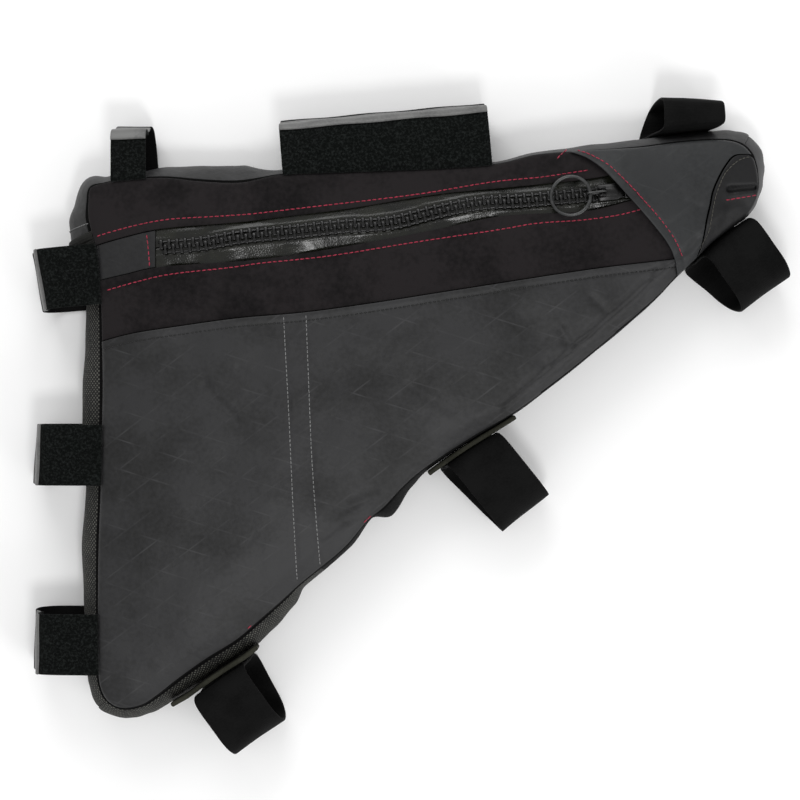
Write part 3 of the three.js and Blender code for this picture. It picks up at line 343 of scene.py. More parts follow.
# The binding: its perimeter rows from the hem, its ribs, and how far they stand proud.
BINDING_ROWS = (-0.37, 0.78)
BINDING_RIBS = 2
BINDING_PROUD = (1.0, 1.1)
BINDING_THICKNESS = 1.0
CORNER_STITCH_ROW = -0.76
CORNER_STITCH_SHARES = (0.03, 0.97)

# Straps with a loop-pile half and a stiff tab half: the place on the seam, the way out in
# degrees, width, reach and skew as shares of the depth, slant, and how far in (as a share of
# the reach) the tab comes over the pile's end.
TabStrap = namedtuple("TabStrap", "name along up way width reach skew slant tab_from")
TAB_STRAPS = [TabStrap(*row) for row in (
    ("seat_strap_upper", 0.014, 0.758, 185, STRAP_WIDTH, 0.75, 0.00, -0.08, 0.88),
    ("seat_strap_middle", 0.019, 0.439, 180, STRAP_WIDTH, 0.81, 0.00, 0.05, 0.90),
    ("seat_strap_lower", 0.014, 0.112, 180, STRAP_WIDTH, 0.77, 0.00, 0.02, 0.89),
    ("top_strap_rear", 0.059, 0.921, 91, NARROW_STRAP_WIDTH, 0.62, -0.04, 0.00, 0.76),
    ("top_strap_wide", 0.442, 0.937, 95, TOP_PAD_WIDTH, 0.69, 0.00, 0.00, 0.85),
)]
# Plain strap loops, with whether a keeper holds them.
LoopStrap = namedtuple("LoopStrap", "name along up way width reach skew slant keeper")
LOOP_STRAPS = [LoopStrap(*row) for row in (
    ("top_strap_front", 0.901, 0.988, 91, STRAP_WIDTH, 0.56, 0.22, 0.08, False),
    ("down_strap_front", 0.948, 0.837, 306, STRAP_WIDTH, 0.94, -0.24, 0.00, False),
    ("down_strap_middle", 0.563, 0.466, 309, STRAP_WIDTH, 1.18, -0.14, 0.00, True),
    ("down_strap_rear", 0.169, 0.081, 305, STRAP_WIDTH, 1.20, 0.12, 0.00, True),
)]
# Profiles from the side: (out, drop or rise) as shares of the reach, depth or height.
LOOP_HALF_PROFILE = [
    (0, 0.006), (0.35, 0.018), (0.70, 0.044), (0.92, 0.10), (0.97, 0.22), (0.96, 0.36)]
HOOK_HALF_PROFILE = [(-0.10, 0.004), (0.07, 0.12), (0.12, 0.30), (0.085, 0.50)]
PLAIN_STRAP_PROFILE = [
    (0, 0.11), (0, 0.50), (0, 0.89), (0.09, 1), (0.50, 1), (0.80, 0.95), (0.97, 0.74),
    (1, 0.41), (0.93, 0.13), (0.78, 0), (0.50, 0), (0.09, 0)]
ROOT_TUCK = (0.5, 1.3)
PALE_END = 8.0
LOOP_CLEARANCE = 0.2
BAND_WAVE = 0.25
BAND_WAVE_LENGTHS = (7.3, 8.1)
BAND_WAVE_FADE = 12.0
SKEW_EASE = 0.85
KEEPER_SHARES = (0.10, 0.40)

# The zip's chain: half a tooth's outline as (along, across), its levels as (height under its
# top, inset), the cord that the teeth sit on, and where each half's first tooth is in pitches.
TEETH_BASE = -(CLOTH + SEAM_GAP) + LID_GAP
TEETH_TOP = TEETH_BASE + TOOTH_HEIGHT
TOOTH_HALF_OUTLINE = [
    (0.75, 4.70), (1.15, 4.30), (1.20, 2.90), (0.80, 2.20), (0.68, 1.10), (1.12, 0.45),
    (1.22, -0.55), (0.85, -1.45)]
TOOTH_LEVELS = [(TOOTH_HEIGHT, 0), (0.6, 0), (0.18, 0.16), (0, 0.45)]
CORD_RADIUS = 0.75
CORD_INSET = 1.3
CORD_PAST = 2.0
FIRST_TEETH = {"upper": 0.75, "lower": 1.25}

# The slider: one side of its plan and its ears' plan as shares of their half sizes, and the
# levels of its body, of its raised panel and of its ears above the pin: (height, inset).
SLIDER_SIDE = [(-1, 0.86), (-0.8875, 1), (0.45, 1), (0.75, 0.86), (1, 0.5)]
SLIDER_PANEL = (0.66, 0.55)
EAR_HALF = (2.25, 0.75)
EAR_OUTLINE = [
    (-1, -0.6), (-0.8, -1), (0.8, -1), (1, -0.6), (1, 0.6), (0.8, 1), (-0.8, 1), (-1, 0.6)]
EAR_ROOM = 1.2
SLIDER_LEVELS = [(0, 0.3), (0.25, 0), (SLIDER_THICKNESS - 0.5, 0), (SLIDER_THICKNESS, 0.45)]
PANEL_LEVELS = [
    (SLIDER_THICKNESS - 0.3, 0), (SLIDER_THICKNESS + 0.35, 0), (SLIDER_THICKNESS + 0.6, 0.3)]
EAR_LEVELS = [(0.7, 0), (1.3, 0.35)]

# A stitch: the rise and the swell of its thread at five places, its share of the pitch, and
# how unevenly it starts and lies.
STITCH_RISE = np.array([-0.30, 0.16, 0.27, 0.16, -0.30])
STITCH_SWELL = np.array([0.55, 1.0, 1.05, 1.0, 0.55])
STITCH_SHARE = 0.90
STITCH_START = 0.2
STITCH_UNEVEN = 0.05
STITCH_SLIP = 0.16
STITCH_END_ROOM = 0.3
FINE_THREAD = 0.75
CORNER_THREAD = 0.8

# Softboxes that face the middle of the bag: name, place and size in metres, watts.
WORLD_LIGHT = 0.70
SOFTBOXES = [
    ("softbox_above", (-0.30, 1.15, 0.80), 0.90, 9.0),
    ("softbox_below", (0.10, -0.50, 1.25), 0.22, 4.2),
    ("softbox_right", (0.85, -0.85, 0.75), 0.60, 5.0),
]
FLOOR_HALF = 4.0


# Curves and places.
def curve_points(points, shares, closed=False):
    """Places on a centripetal curve through the points, at shares of its parameter."""
    points = np.asarray(points, float)
    count = len(points)
    spans = count if closed else count - 1
    place = np.asarray(shares, float) * spans
    index = np.floor(place).astype(int)
    if not closed:
        index = np.clip(index, 0, spans - 1)
    part = (place - index)[..., None]
    extended = np.vstack([2 * points[0] - points[1], points, 2 * points[-1] - points[-2]])

    def at(step):
        return points[(index + step) % count] if closed else extended[index + step + 1]

    def knot(a, b):
        return np.sum((a - b) ** 2, axis=-1, keepdims=True) ** 0.25

    before, start, end, after = at(-1), at(0), at(1), at(2)
    middle = np.maximum(knot(start, end), 1e-4)
    first = np.maximum(knot(before, start), 1e-4)
    last = np.maximum(knot(end, after), 1e-4)
    leave = (start - before) / first - (end - before) / (first + middle) + (end - start) / middle
    reach = (end - start) / middle - (after - start) / (middle + last) + (after - end) / last
    leave = leave * middle
    reach = reach * middle
    return (start + leave * part + (3 * (end - start) - 2 * leave - reach) * part ** 2
            + (2 * (start - end) + leave + reach) * part ** 3)


def smoothstep(value, low, high):
    share = np.clip((value - low) / (high - low), 0, 1)
    return share * share * (3 - 2 * share)


def lerp(a, b, share):
    return a + (b - a) * share


SEAM = np.array([(row[1] * BAG_LENGTH, row[2] * BAG_HEIGHT) for row in PERIMETER_ROWS])
LEAN = np.array([row[3] for row in PERIMETER_ROWS]) * BAG_DEPTH
BELLY = np.array([row[4] for row in PERIMETER_ROWS]) * BAG_DEPTH
ROWS = len(PERIMETER_ROWS)
ROW_NAMES = [row[0] for row in PERIMETER_ROWS]


def row_of(name):
    return ROW_NAMES.index(name)


def perimeter_at(row):
    """Place, way out, lean and belly at perimeter rows, which may have fractions."""
    row = np.asarray(row, float) % ROWS
    index = np.floor(row).astype(int)
    ease = smoothstep(row - index, 0, 1)
    place = curve_points(SEAM, row / ROWS, closed=True)
    tiny = 1e-4
    way = (curve_points(SEAM, (row / ROWS + tiny) % 1, closed=True)
           - curve_points(SEAM, (row / ROWS - tiny) % 1, closed=True))
    way = way / np.linalg.norm(way, axis=-1, keepdims=True)
    out = np.stack([way[..., 1], -way[..., 0]], axis=-1)
    after = (index + 1) % ROWS
    return place, out, lerp(LEAN[index], LEAN[after], ease), lerp(BELLY[index], BELLY[after], ease)


def perimeter_piece(from_row, to_row, per_row=12):
    steps = max(1, round(abs(to_row - from_row) * per_row))
    return perimeter_at(np.linspace(from_row, to_row, steps + 1))[0]


def placed(rows):
    return np.array(rows, float) * (BAG_LENGTH, BAG_HEIGHT)


def line_through(name, shift=0.0, per_row=12):
    rows = placed(LINES[name])
    points = curve_points(rows, np.linspace(0, 1, len(rows) * per_row + 1))
    return points + (0, shift)


def run_of(line):
    """How far each point of a line is along it."""
    return np.concatenate([[0], np.cumsum(np.linalg.norm(np.diff(line, axis=0), axis=1))])


def point_along(line, share):
    run = run_of(line)
    want = np.clip(share, 0, 1) * run[-1]
    return np.stack([np.interp(want, run, line[:, axis]) for axis in range(line.shape[1])], axis=-1)


def point_at_x(line, x):
    return np.stack([x + 0 * x, np.interp(x, line[:, 0], line[:, 1])], axis=-1)


def part_of_line(line, from_along, to_along):
    ends = point_at_x(line, np.array([from_along, to_along]) * BAG_LENGTH)
    inside = line[(line[:, 0] > ends[0, 0]) & (line[:, 0] < ends[1, 0])]
    return np.vstack([ends[:1], inside, ends[1:]])


def distance_to(x, y, line):
    """How far each place is from a line of points."""
    flat_x, flat_y = np.ravel(x), np.ravel(y)
    start, step = line[:-1], np.diff(line, axis=0)
    square = np.maximum(np.sum(step ** 2, axis=1), 1e-9)
    nearest = np.empty(flat_x.shape)
    chunk = 20000
    for first in range(0, len(flat_x), chunk):
        dx = flat_x[first:first + chunk, None] - start[:, 0]
        dy = flat_y[first:first + chunk, None] - start[:, 1]
        share = np.clip((dx * step[:, 0] + dy * step[:, 1]) / square, 0, 1)
        away = np.hypot(dx - share * step[:, 0], dy - share * step[:, 1])
        nearest[first:first + chunk] = away.min(axis=1)
    return nearest.reshape(np.shape(x))


# The front's height.
SEAT_SIDE = perimeter_piece(0, row_of("bottom corner"), 4)
DOWN_SIDE = perimeter_piece(row_of("bottom corner"), row_of("nose bottom"), 4)
TOP_SIDE = perimeter_piece(row_of("nose bottom"), ROWS, 4)
CREASE_LINE = line_through("edge crease", per_row=3)


def pressed(x, y, folds):
    """How deep a list of folds presses the cloth in at each place."""
    depth = np.zeros(np.shape(x))
    for from_along, from_up, to_along, to_up, width, deep in folds:
        line = placed([(from_along, from_up), (to_along, to_up)])
        away = distance_to(x, y, line) / (width * BAG_DEPTH)
        depth += deep * BAG_DEPTH * np.exp(-away ** 2)
    return depth


def model_height(x, y):
    """The model's front, and how far each place is from the seam."""
    x, y = np.asarray(x, float), np.asarray(y, float)
    away = [distance_to(x, y, side) for side in (SEAT_SIDE, DOWN_SIDE, TOP_SIDE)]
    crown = np.prod([1 - np.exp(-distance / CROWN_REACH) for distance in away], axis=0)
    towards_nose = smoothstep(x / BAG_LENGTH, 0.3, 0.6)
    roll = (EDGE_ROLL * lerp(REAR_ROLL, 1, towards_nose)
            * (1 - smoothstep(away[1], 0, ROLL_WIDTH)))
    edge = np.min(away, axis=0)
    fade = np.minimum(1, edge / CROWN_REACH)
    return BAG_DEPTH + FRONT_CROWN * crown - roll - pressed(x, y, MODEL_FOLDS) * fade, edge


def ripples(x, y):
    """Slow swells of stuffed cloth, bent so that no two run straight."""
    bent_x, bent_y = (place + size * np.sin(y / down + x / along)
                      for place, (size, down, along) in zip((x, y), RIPPLE_BENDS))
    swell = np.zeros(np.shape(x))
    for number, (way, length, height) in enumerate(RIPPLES):
        turn = math.radians(way)
        run = bent_x * math.cos(turn) + bent_y * math.sin(turn)
        swell += height * np.sin(2 * math.pi * run / length + RIPPLE_TURN * number)
    return swell


def front_surface(x, y, calm=1.0):
    """The front with its swells, creases and the roll of its edge into the seam."""
    height, edge = model_height(x, y)
    fade = np.minimum(1, edge / RIPPLE_FADE)
    height = height + (calm * ripples(x, y) - CREASE_RELIEF * pressed(x, y, CLOSE_CREASES)) * fade
    for rise, width, offset in EDGE_FOLDS:
        height = height + rise * np.exp(-(distance_to(x, y, CREASE_LINE + offset) / width) ** 2)
    roll = 1 - np.minimum(edge / SEAM_RADIUS, 1)
    return height - SEAM_DROP * (1 - np.sqrt(1 - roll ** 2))


# Meshes.
SHIFT = None


def find_shift():
    """Where the table frame's origin lies, from the back panel's own box."""
    place, out, lean, _ = perimeter_at(np.arange(ROWS))
    corner = (place + out * lean[:, None]).min(axis=0)
    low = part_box("back_panel")[0]
    return np.array([low[0] / MM - corner[0], low[1] / MM - corner[1], 0.0])


def facing_out(points, faces):
    """The same faces, all turned outwards by the sign of the volume that they close."""
    faces = [list(map(int, face)) for face in faces]
    quads = np.array([face for face in faces if len(face) == 4])
    from_first = points - points[0]
    volume = 0.0
    for second, third in ((1, 2), (2, 3)):
        a, b, c = (from_first[quads[:, corner]] for corner in (0, second, third))
        volume += float(np.sum(np.einsum("ij,ij->i", a, np.cross(b, c))))
    return faces if volume > 0 else [face[::-1] for face in faces]


def add_piece(name, points, faces, material, replaces=(), cloth_map=None):
    """A mesh piece from points in millimetres; cloth_map gives each point's place on its cloth."""
    points = np.array(points, float)
    points[:, 2] = np.maximum(points[:, 2], GROUND_GAP)
    mesh = bpy.data.meshes.new(name)
    faces = facing_out(points, faces)
    mesh.from_pydata(((points + SHIFT) * MM).tolist(), [], faces)
    mesh.validate()
    if cloth_map is not None:
        corners = np.empty(len(mesh.loops), dtype=np.int32)
        mesh.loops.foreach_get("vertex_index", corners)
        layer = mesh.uv_layers.new(name="cloth")
        layer.data.foreach_set("uv", np.asarray(cloth_map, float)[corners].ravel())
    mesh.polygons.foreach_set("use_smooth", [True] * len(mesh.polygons))
    mesh.update()
    piece = bpy.data.objects.new(name, mesh)
    bpy.context.collection.objects.link(piece)
    mesh.materials.append(material)
    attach(piece, "root")
    if replaces:
        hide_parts(*replaces)
    return piece


def second_finish(piece, material, chosen):
    """Gives a second finish to the faces whose places on their cloth chosen(u, v) picks."""
    mesh = piece.data
    mesh.materials.append(material)
    corners = np.empty(2 * len(mesh.loops))
    mesh.uv_layers["cloth"].data.foreach_get("uv", corners)
    picked = chosen(corners[::2], corners[1::2])
    for face in mesh.polygons:
        if picked[list(face.loop_indices)].all():
            face.material_index = len(mesh.materials) - 1


def skin_faces(rows, columns, ring):
    """Faces of a closed skin: an outer grid, and an inner one that shares its borders."""
    outer = np.arange(rows * columns).reshape(rows, columns)
    inner = outer + rows * columns
    inner[:, 0] = outer[:, 0]
    inner[:, -1] = outer[:, -1]
    if ring:
        outer = np.vstack([outer, outer[:1]])
        inner = np.vstack([inner, inner[:1]])
    else:
        inner[0] = outer[0]
        inner[-1] = outer[-1]
    top = np.stack([outer[:-1, :-1], outer[1:, :-1], outer[1:, 1:], outer[:-1, 1:]], axis=-1)
    low = np.stack([inner[:-1, :-1], inner[:-1, 1:], inner[1:, 1:], inner[1:, :-1]], axis=-1)
    return np.vstack([top.reshape(-1, 4), low.reshape(-1, 4)])


def skin(surface, normal, thickness, edge, ring=False):
    """Points and faces of a skin under a surface grid; edge is the distance to its border."""
    inside = 1 - np.clip(edge / FOLD_RADIUS, 0, 1)
    half = 0.5 * thickness * np.sqrt(1 - inside ** 2)[..., None]
    middle = surface - normal * thickness / 2
    points = np.vstack([(middle + side * normal * half).reshape(-1, 3) for side in (1, -1)])
    faces = skin_faces(surface.shape[0], surface.shape[1], ring)
    used = np.unique(faces)
    renumber = np.full(len(points), -1)
    renumber[used] = np.arange(len(used))
    return points[used], renumber[faces], used % (surface.shape[0] * surface.shape[1])


def sheet_piece(name, surface, normal, thickness, edge, on_cloth, material, ring=False):
    """A skin under a surface grid, as the piece in place of the solid that has its name."""
    points, faces, source = skin(surface, normal, thickness, edge, ring)
    cloth_map = np.dstack(np.broadcast_arrays(*on_cloth)).reshape(-1, 2)[source]
    return add_piece(name, points, faces, material, (name,), cloth_map)


def spaced(length, step, rim=FOLD_RADIUS):
    """Shares of a length in even steps, closer together at both ends for the folded edge."""
    rim_share = min(rim / length, MOST_RIM)
    ends = rim_share * RIM_SHARES
    count = max(2, round(length / step))
    return np.unique(np.concatenate([ends, np.linspace(rim_share, 1 - rim_share, count), 1 - ends]))


def four_sides(bottom, top, left=None, right=None):
    """A patch's sides, joined at its corners; a side that isn't given is straight."""
    left = np.array([bottom[0], top[0]]) if left is None else left
    right = np.array([bottom[-1], top[-1]]) if right is None else right
    left[0], left[-1] = bottom[0], top[0]
    right[0], right[-1] = bottom[-1], top[-1]
    return {"bottom": bottom, "top": top, "left": left, "right": right}


def patch(sides, u, v):
    """A four-sided patch between its bottom, top, left and right lines."""
    bottom, top = point_along(sides["bottom"], u)[:, None], point_along(sides["top"], u)[:, None]
    left, right = point_along(sides["left"], v)[None], point_along(sides["right"], v)[None]
    u, v = u[:, None, None], v[None, :, None]
    corners = [sides["bottom"][0], sides["bottom"][-1], sides["top"][0], sides["top"][-1]]
    return ((1 - v) * bottom + v * top + (1 - u) * left + u * right
            - (1 - u) * (1 - v) * corners[0] - u * (1 - v) * corners[1]
            - (1 - u) * v * corners[2] - u * v * corners[3])


def border_distance(plan, u, v):
    """How far each place of a patch is from its border, near enough for a folded edge."""
    long = np.linalg.norm(np.diff(plan, axis=0), axis=-1).sum(axis=0)[None]
    wide = np.linalg.norm(np.diff(plan, axis=1), axis=-1).sum(axis=1)[:, None]
    return np.minimum(np.minimum(u, 1 - u)[:, None] * long, np.minimum(v, 1 - v)[None] * wide)


def front_piece(name, sides, material, lift, thickness=CLOTH, calm=1.0):
    """A cut panel of the front, laid on its surface and raised by lift(x, y)."""
    long = max(run_of(sides["bottom"])[-1], run_of(sides["top"])[-1])
    wide = max(run_of(sides["left"])[-1], run_of(sides["right"])[-1], LEAST_SIDE)
    u, v = (spaced(length, GRID_STEPS[name]) for length in (long, wide))
    plan = patch(sides, u, v)
    x, y = plan[..., 0], plan[..., 1]
    surface = np.dstack([x, y, front_surface(x, y, calm) + lift(x, y)])
    edge = border_distance(plan, u, v)
    return sheet_piece(name, surface, UP, thickness, edge, (x, y), material)


# Finishes. Every colour is an sRGB hex value.
def linear(hex_value):
    """An sRGB hex colour as linear red, green, blue and alpha."""
    parts = [int(hex_value[place:place + 2], 16) / 255 for place in (0, 2, 4)]
    return [c / 12.92 if c <= 0.04045 else ((c + 0.055) / 1.055) ** 2.4 for c in parts] + [1.0]


def fill_inputs(tree, node, inputs):
    """Links a node's inputs to sockets, or sets them to values."""
    for name, value in inputs.items():
        if isinstance(value, bpy.types.NodeSocket):
            tree.links.new(value, node.inputs[name])
        else:
            node.inputs[name].default_value = value


def add_node(tree, kind, settings=None, inputs=None):
    """Adds a shader node, with its settings and its inputs."""
    node = tree.nodes.new("ShaderNode" + kind)
    for name, value in (settings or {}).items():
        setattr(node, name, value)
    fill_inputs(tree, node, inputs or {})
    return node


def new_finish(name, roughness, sheen=0.0, specular=0.5, coat=0.0, coat_roughness=0.1):
    """A material with its node tree and its surface shader."""
    material = bpy.data.materials.new(name)
    material.use_nodes = True
    tree = material.node_tree
    shader = tree.nodes["Principled BSDF"]
    fill_inputs(tree, shader, {
        "Roughness": roughness, "Specular IOR Level": specular, "Sheen Weight": sheen,
        "Coat Weight": coat, "Coat Roughness": coat_roughness})
    return material, tree, shader


def mottle(tree, patch_mm, detail=3.0, low=0.35, high=0.65):
    """Soft uneven patches of about this size, from 0 to 1."""
    noise = add_node(tree, "TexNoise", inputs={
        "Vector": add_node(tree, "TexCoord").outputs["Object"],
        "Scale": 1 / (patch_mm * MM), "Detail": detail})
    return add_node(tree, "MapRange", inputs={
        "Value": noise.outputs[0], "From Min": low, "From Max": high}).outputs[0]


def two_mottles(tree, first, second, share=0.5):
    """Patches of one size, plus a share of patches of another; each is (size, detail)."""
    return add_node(tree, "Math", {"operation": "MULTIPLY_ADD"}, {
        0: mottle(tree, *second), 1: share, 2: mottle(tree, *first)}).outputs[0]


def thread_wave(tree, axis, pitch_mm):
    """A wave along one way of the cloth, one to a thread, from -1 to 1."""
    parts = add_node(tree, "SeparateXYZ", inputs={
        0: add_node(tree, "UVMap", {"uv_map": "cloth"}).outputs["UV"]})
    turned = add_node(tree, "Math", {"operation": "MULTIPLY"}, {
        0: parts.outputs[axis], 1: 2 * math.pi / pitch_mm})
    return add_node(tree, "Math", {"operation": "SINE"}, {0: turned.outputs[0]}).outputs[0]


def weave(tree, pitch_mm):
    """Plain weave: rises over each crossing of two threads, from -1 to 1."""
    return add_node(tree, "Math", {"operation": "MULTIPLY"}, {
        0: thread_wave(tree, "X", pitch_mm), 1: thread_wave(tree, "Y", pitch_mm)}).outputs[0]


def paint(tree, shader, base, blends, bumps):
    """Colours a shader with its base, then each (share, colour) over it, and adds its bumps.

    Each of bumps is (height, depth in millimetres, strength).
    """
    colour = linear(base)
    for share, over in blends:
        mix = add_node(tree, "Mix", {"data_type": "RGBA"}, {0: share, 6: colour, 7: linear(over)})
        colour = mix.outputs[2]
    chain = {}
    for height, depth_mm, strength in bumps:
        bump = add_node(tree, "Bump", inputs={
            "Height": height, "Distance": depth_mm * MM, "Strength": strength, **chain})
        chain = {"Normal": bump.outputs["Normal"]}
    fill_inputs(tree, shader, {"Base Color": colour, **chain})


def crossing_threads(tree, way_degrees, pitch_mm, width_mm):
    """One family of thin laid threads: 1 on a thread, 0 between, and faint in places."""
    parts = add_node(tree, "SeparateXYZ", inputs={
        0: add_node(tree, "UVMap", {"uv_map": "cloth"}).outputs["UV"]})
    turn = math.radians(way_degrees)
    across_x = add_node(tree, "Math", {"operation": "MULTIPLY"},
                        {0: parts.outputs["X"], 1: -math.sin(turn) / pitch_mm})
    across = add_node(tree, "Math", {"operation": "MULTIPLY_ADD"},
                      {0: parts.outputs["Y"], 1: math.cos(turn) / pitch_mm, 2: across_x.outputs[0]})
    within = add_node(tree, "Math", {"operation": "FRACT"}, {0: across.outputs[0]})
    away = add_node(tree, "Math", {"operation": "SUBTRACT"}, {0: within.outputs[0], 1: 0.5})
    far = add_node(tree, "Math", {"operation": "ABSOLUTE"}, {0: away.outputs[0]})
    thread = add_node(tree, "MapRange", {"interpolation_type": "SMOOTHSTEP"}, {
        "Value": far.outputs[0], "From Min": 0.0, "From Max": width_mm / pitch_mm,
        "To Min": 1.0, "To Max": 0.0})
    return add_node(tree, "Math", {"operation": "MULTIPLY"},
                    {0: thread.outputs[0], 1: mottle(tree, 14, 4.0, 0.44, 0.70)}).outputs[0]


def laminated_sailcloth(name, dark, pale, thread):
    """Polyester face laminated over crossing threads: smooth, satin, with faint diamonds."""
    material, tree, shader = new_finish(name, 0.50, specular=0.24)
    patches = two_mottles(tree, (45,), (2.6, 4.0), 0.45)
    threads = add_node(tree, "Math", {"operation": "MAXIMUM"}, {
        0: crossing_threads(tree, 37, 16.5, 0.75),
        1: crossing_threads(tree, -17, 17.5, 0.75)}).outputs[0]
    grain = add_node(tree, "TexNoise", inputs={
        "Vector": add_node(tree, "TexCoord").outputs["Object"],
        "Scale": 1 / (0.9 * MM), "Detail": 2.0}).outputs[0]
    paint(tree, shader, dark, [(patches, pale), (threads, thread)], [
        (threads, 0.05, 0.4), (grain, 0.05, 0.35), (mottle(tree, 7, 5.0, 0.2, 0.8), 0.50, 0.50)])
    return material


def dyed_nylon(name, dark, pale):
    """Matt dyed nylon: nearly black, its fine weave only just seen."""
    material, tree, shader = new_finish(name, 0.85, sheen=0.02, specular=0.11)
    # The real threads are 0.4 mm apart; drawn at 1.3 mm so that they show.
    paint(tree, shader, dark, [(two_mottles(tree, (38,), (3,)), pale)], [
        (weave(tree, 1.3), 0.05, 0.45), (mottle(tree, 16, 4.0), 0.35, 0.35)])
    return material


def coarse_pack_cloth(name, dark, pale):
    """Coarse textured nylon: an olive-black field of raised thread crossings."""
    material, tree, shader = new_finish(name, 0.72, specular=0.25)
    # The real threads are 0.7 mm apart; drawn at 2.6 mm so that the dots show.
    crossings = weave(tree, 2.6)
    dots = add_node(tree, "MapRange", inputs={
        "Value": crossings, "From Min": 0.1, "From Max": 0.8}).outputs[0]
    worn = add_node(tree, "Math", {"operation": "MULTIPLY"}, {
        0: dots, 1: two_mottles(tree, (2.2,), (20,))}).outputs[0]
    paint(tree, shader, dark, [(worn, pale)], [
        (crossings, 0.22, 0.6), (mottle(tree, 12, 4.0), 0.25, 0.3)])
    return material


def napped_loop_pile(name, dark, pale):
    """Brushed nylon loops: a matt, cold black nap with paler tufts."""
    material, tree, shader = new_finish(name, 0.95, sheen=0.03, specular=0.05)
    tufts = add_node(tree, "TexNoise", inputs={
        "Vector": add_node(tree, "TexCoord").outputs["Object"],
        "Scale": 1 / (1.5 * MM), "Detail": 4.0, "Roughness": 0.7}).outputs[0]
    peaks = add_node(tree, "MapRange", inputs={
        "Value": tufts, "From Min": 0.47, "From Max": 0.74}).outputs[0]
    paint(tree, shader, dark, [(peaks, pale)], [
        (tufts, 0.9, 0.8), (mottle(tree, 0.8, 3.0), 0.25, 0.5)])
    return material


def woven_tape(name, dark, pale, pitch_mm, specular):
    """Close-woven polyamide tape: smooth ribs straight across it, matt."""
    material, tree, shader = new_finish(name, 0.82, sheen=0.01, specular=specular)
    paint(tree, shader, dark, [(two_mottles(tree, (22, 4.0), (1.2,)), pale)], [
        (thread_wave(tree, "X", pitch_mm), 0.08, 0.4), (mottle(tree, 1.6, 3.0), 0.12, 0.4)])
    return material


def stiff_tab_laminate(name, dark, pale):
    """Stiffened laminate at a strap's end: pale grey, smooth, slightly shiny."""
    material, tree, shader = new_finish(name, 0.45, specular=0.4)
    paint(tree, shader, dark, [(two_mottles(tree, (18,), (1.6,)), pale)], [
        (mottle(tree, 1.6), 0.06, 0.4)])
    return material


def coated_zip_tape(name, dark, pale):
    """Zip tape under a clear rubbery film: black with broken, sparkling highlights."""
    material, tree, shader = new_finish(name, 0.24, specular=0.30, coat=0.12, coat_roughness=0.10)
    grit = add_node(tree, "TexVoronoi", inputs={
        "Vector": add_node(tree, "TexCoord").outputs["Object"],
        "Scale": 1 / (1.1 * MM), "Randomness": 0.9}).outputs["Distance"]
    paint(tree, shader, dark, [(two_mottles(tree, (12,), (1.2,)), pale)], [
        (grit, 0.20, 0.40), (mottle(tree, 0.9, 2.0), 0.10, 0.35)])
    return material


def moulded_acetal(name, dark, pale):
    """Moulded acetal teeth: black, waxy, with small round highlights."""
    material, tree, shader = new_finish(name, 0.26, specular=0.42)
    paint(tree, shader, dark, [(mottle(tree, 4), pale)], [(mottle(tree, 0.8), 0.05, 0.3)])
    return material


def painted_zinc(name, dark, pale, specular=0.5):
    """Die-cast zinc under baked dark paint: satin, with rubbed paler spots."""
    material, tree, shader = new_finish(name, 0.36, specular=specular, coat=0.10, coat_roughness=0.2)
    worn = mottle(tree, 2.4, 4.0, 0.5, 0.8)
    paint(tree, shader, dark, [(worn, pale)], [(mottle(tree, 1.1), 0.06, 0.4)])
    return material


def spun_thread(name, dark, pale):
    """Bonded polyester sewing thread: bright, with the dark lines between its plies."""
    material, tree, shader = new_finish(name, 0.55, sheen=0.05, specular=0.35)
    paint(tree, shader, dark, [(mottle(tree, 0.7), pale)], [(mottle(tree, 0.4), 0.06, 0.4)])
    return material


def painted_floor(name, colour):
    """A plain pale table top, with only the slightest unevenness."""
    material, tree, shader = new_finish(name, 0.9, specular=0.1)
    paint(tree, shader, colour, [], [(mottle(tree, 5), 0.02, 0.1)])
    return material


# Camera, light and floor.
def make_camera():
    data = bpy.data.cameras.new("camera")
    data.sensor_width = SENSOR_WIDTH
    data.lens = LENS
    camera = bpy.data.objects.new("camera", data)
    camera.location = (np.array([*CAMERA_PLACE, CAMERA_HEIGHT]) + SHIFT) * MM
    bpy.context.collection.objects.link(camera)
    bpy.context.scene.camera = camera


def make_soft_light(name, place, size, watts):
    """A square softbox that faces the middle of the bag."""
    data = bpy.data.lights.new(name, "AREA")
    data.size = size
    data.energy = watts
    light = bpy.data.objects.new(name, data)
    light.location = place
    light.rotation_euler = (-light.location).to_track_quat("-Z", "Y").to_euler()
    bpy.context.collection.objects.link(light)


def make_studio():
    world = bpy.data.worlds.new("studio")
    world.use_nodes = True
    fill_inputs(world.node_tree, world.node_tree.nodes["Background"], {
        "Color": (1, 1, 1, 1), "Strength": WORLD_LIGHT})
    bpy.context.scene.world = world
    bpy.context.scene.view_settings.view_transform = "Standard"
    for softbox in SOFTBOXES:
        make_soft_light(*softbox)
    mesh = bpy.data.meshes.new("floor")
    corners = [(x * FLOOR_HALF, y * FLOOR_HALF, 0) for x, y in ((-1, -1), (1, -1), (1, 1), (-1, 1))]
    mesh.from_pydata(corners, [], [(0, 1, 2, 3)])
    mesh.materials.append(painted_floor("pale_table", "f6f6f6"))
    floor = bpy.data.objects.new("floor", mesh)
    bpy.context.collection.objects.link(floor)


# Turned edges and stitch dimples.
def turned_edge(x, y, line, width, rise):
    """How far a turned and sewn-down edge stands proud along its line."""
    return rise * np.exp(-(distance_to(x, y, line) / width) ** 4)


def groove(x, y, line, depth=0.38, width=1.1):
    """How deep a row of stitches pulls the cloth in along its line."""
    return depth * np.exp(-(distance_to(x, y, line) / width) ** 2)


def dimples(x, y, names, depth=0.38):
    """The grooves of the rows of stitches with these names."""
    return -sum(groove(x, y, line_through(name, per_row=3), depth) for name in names)


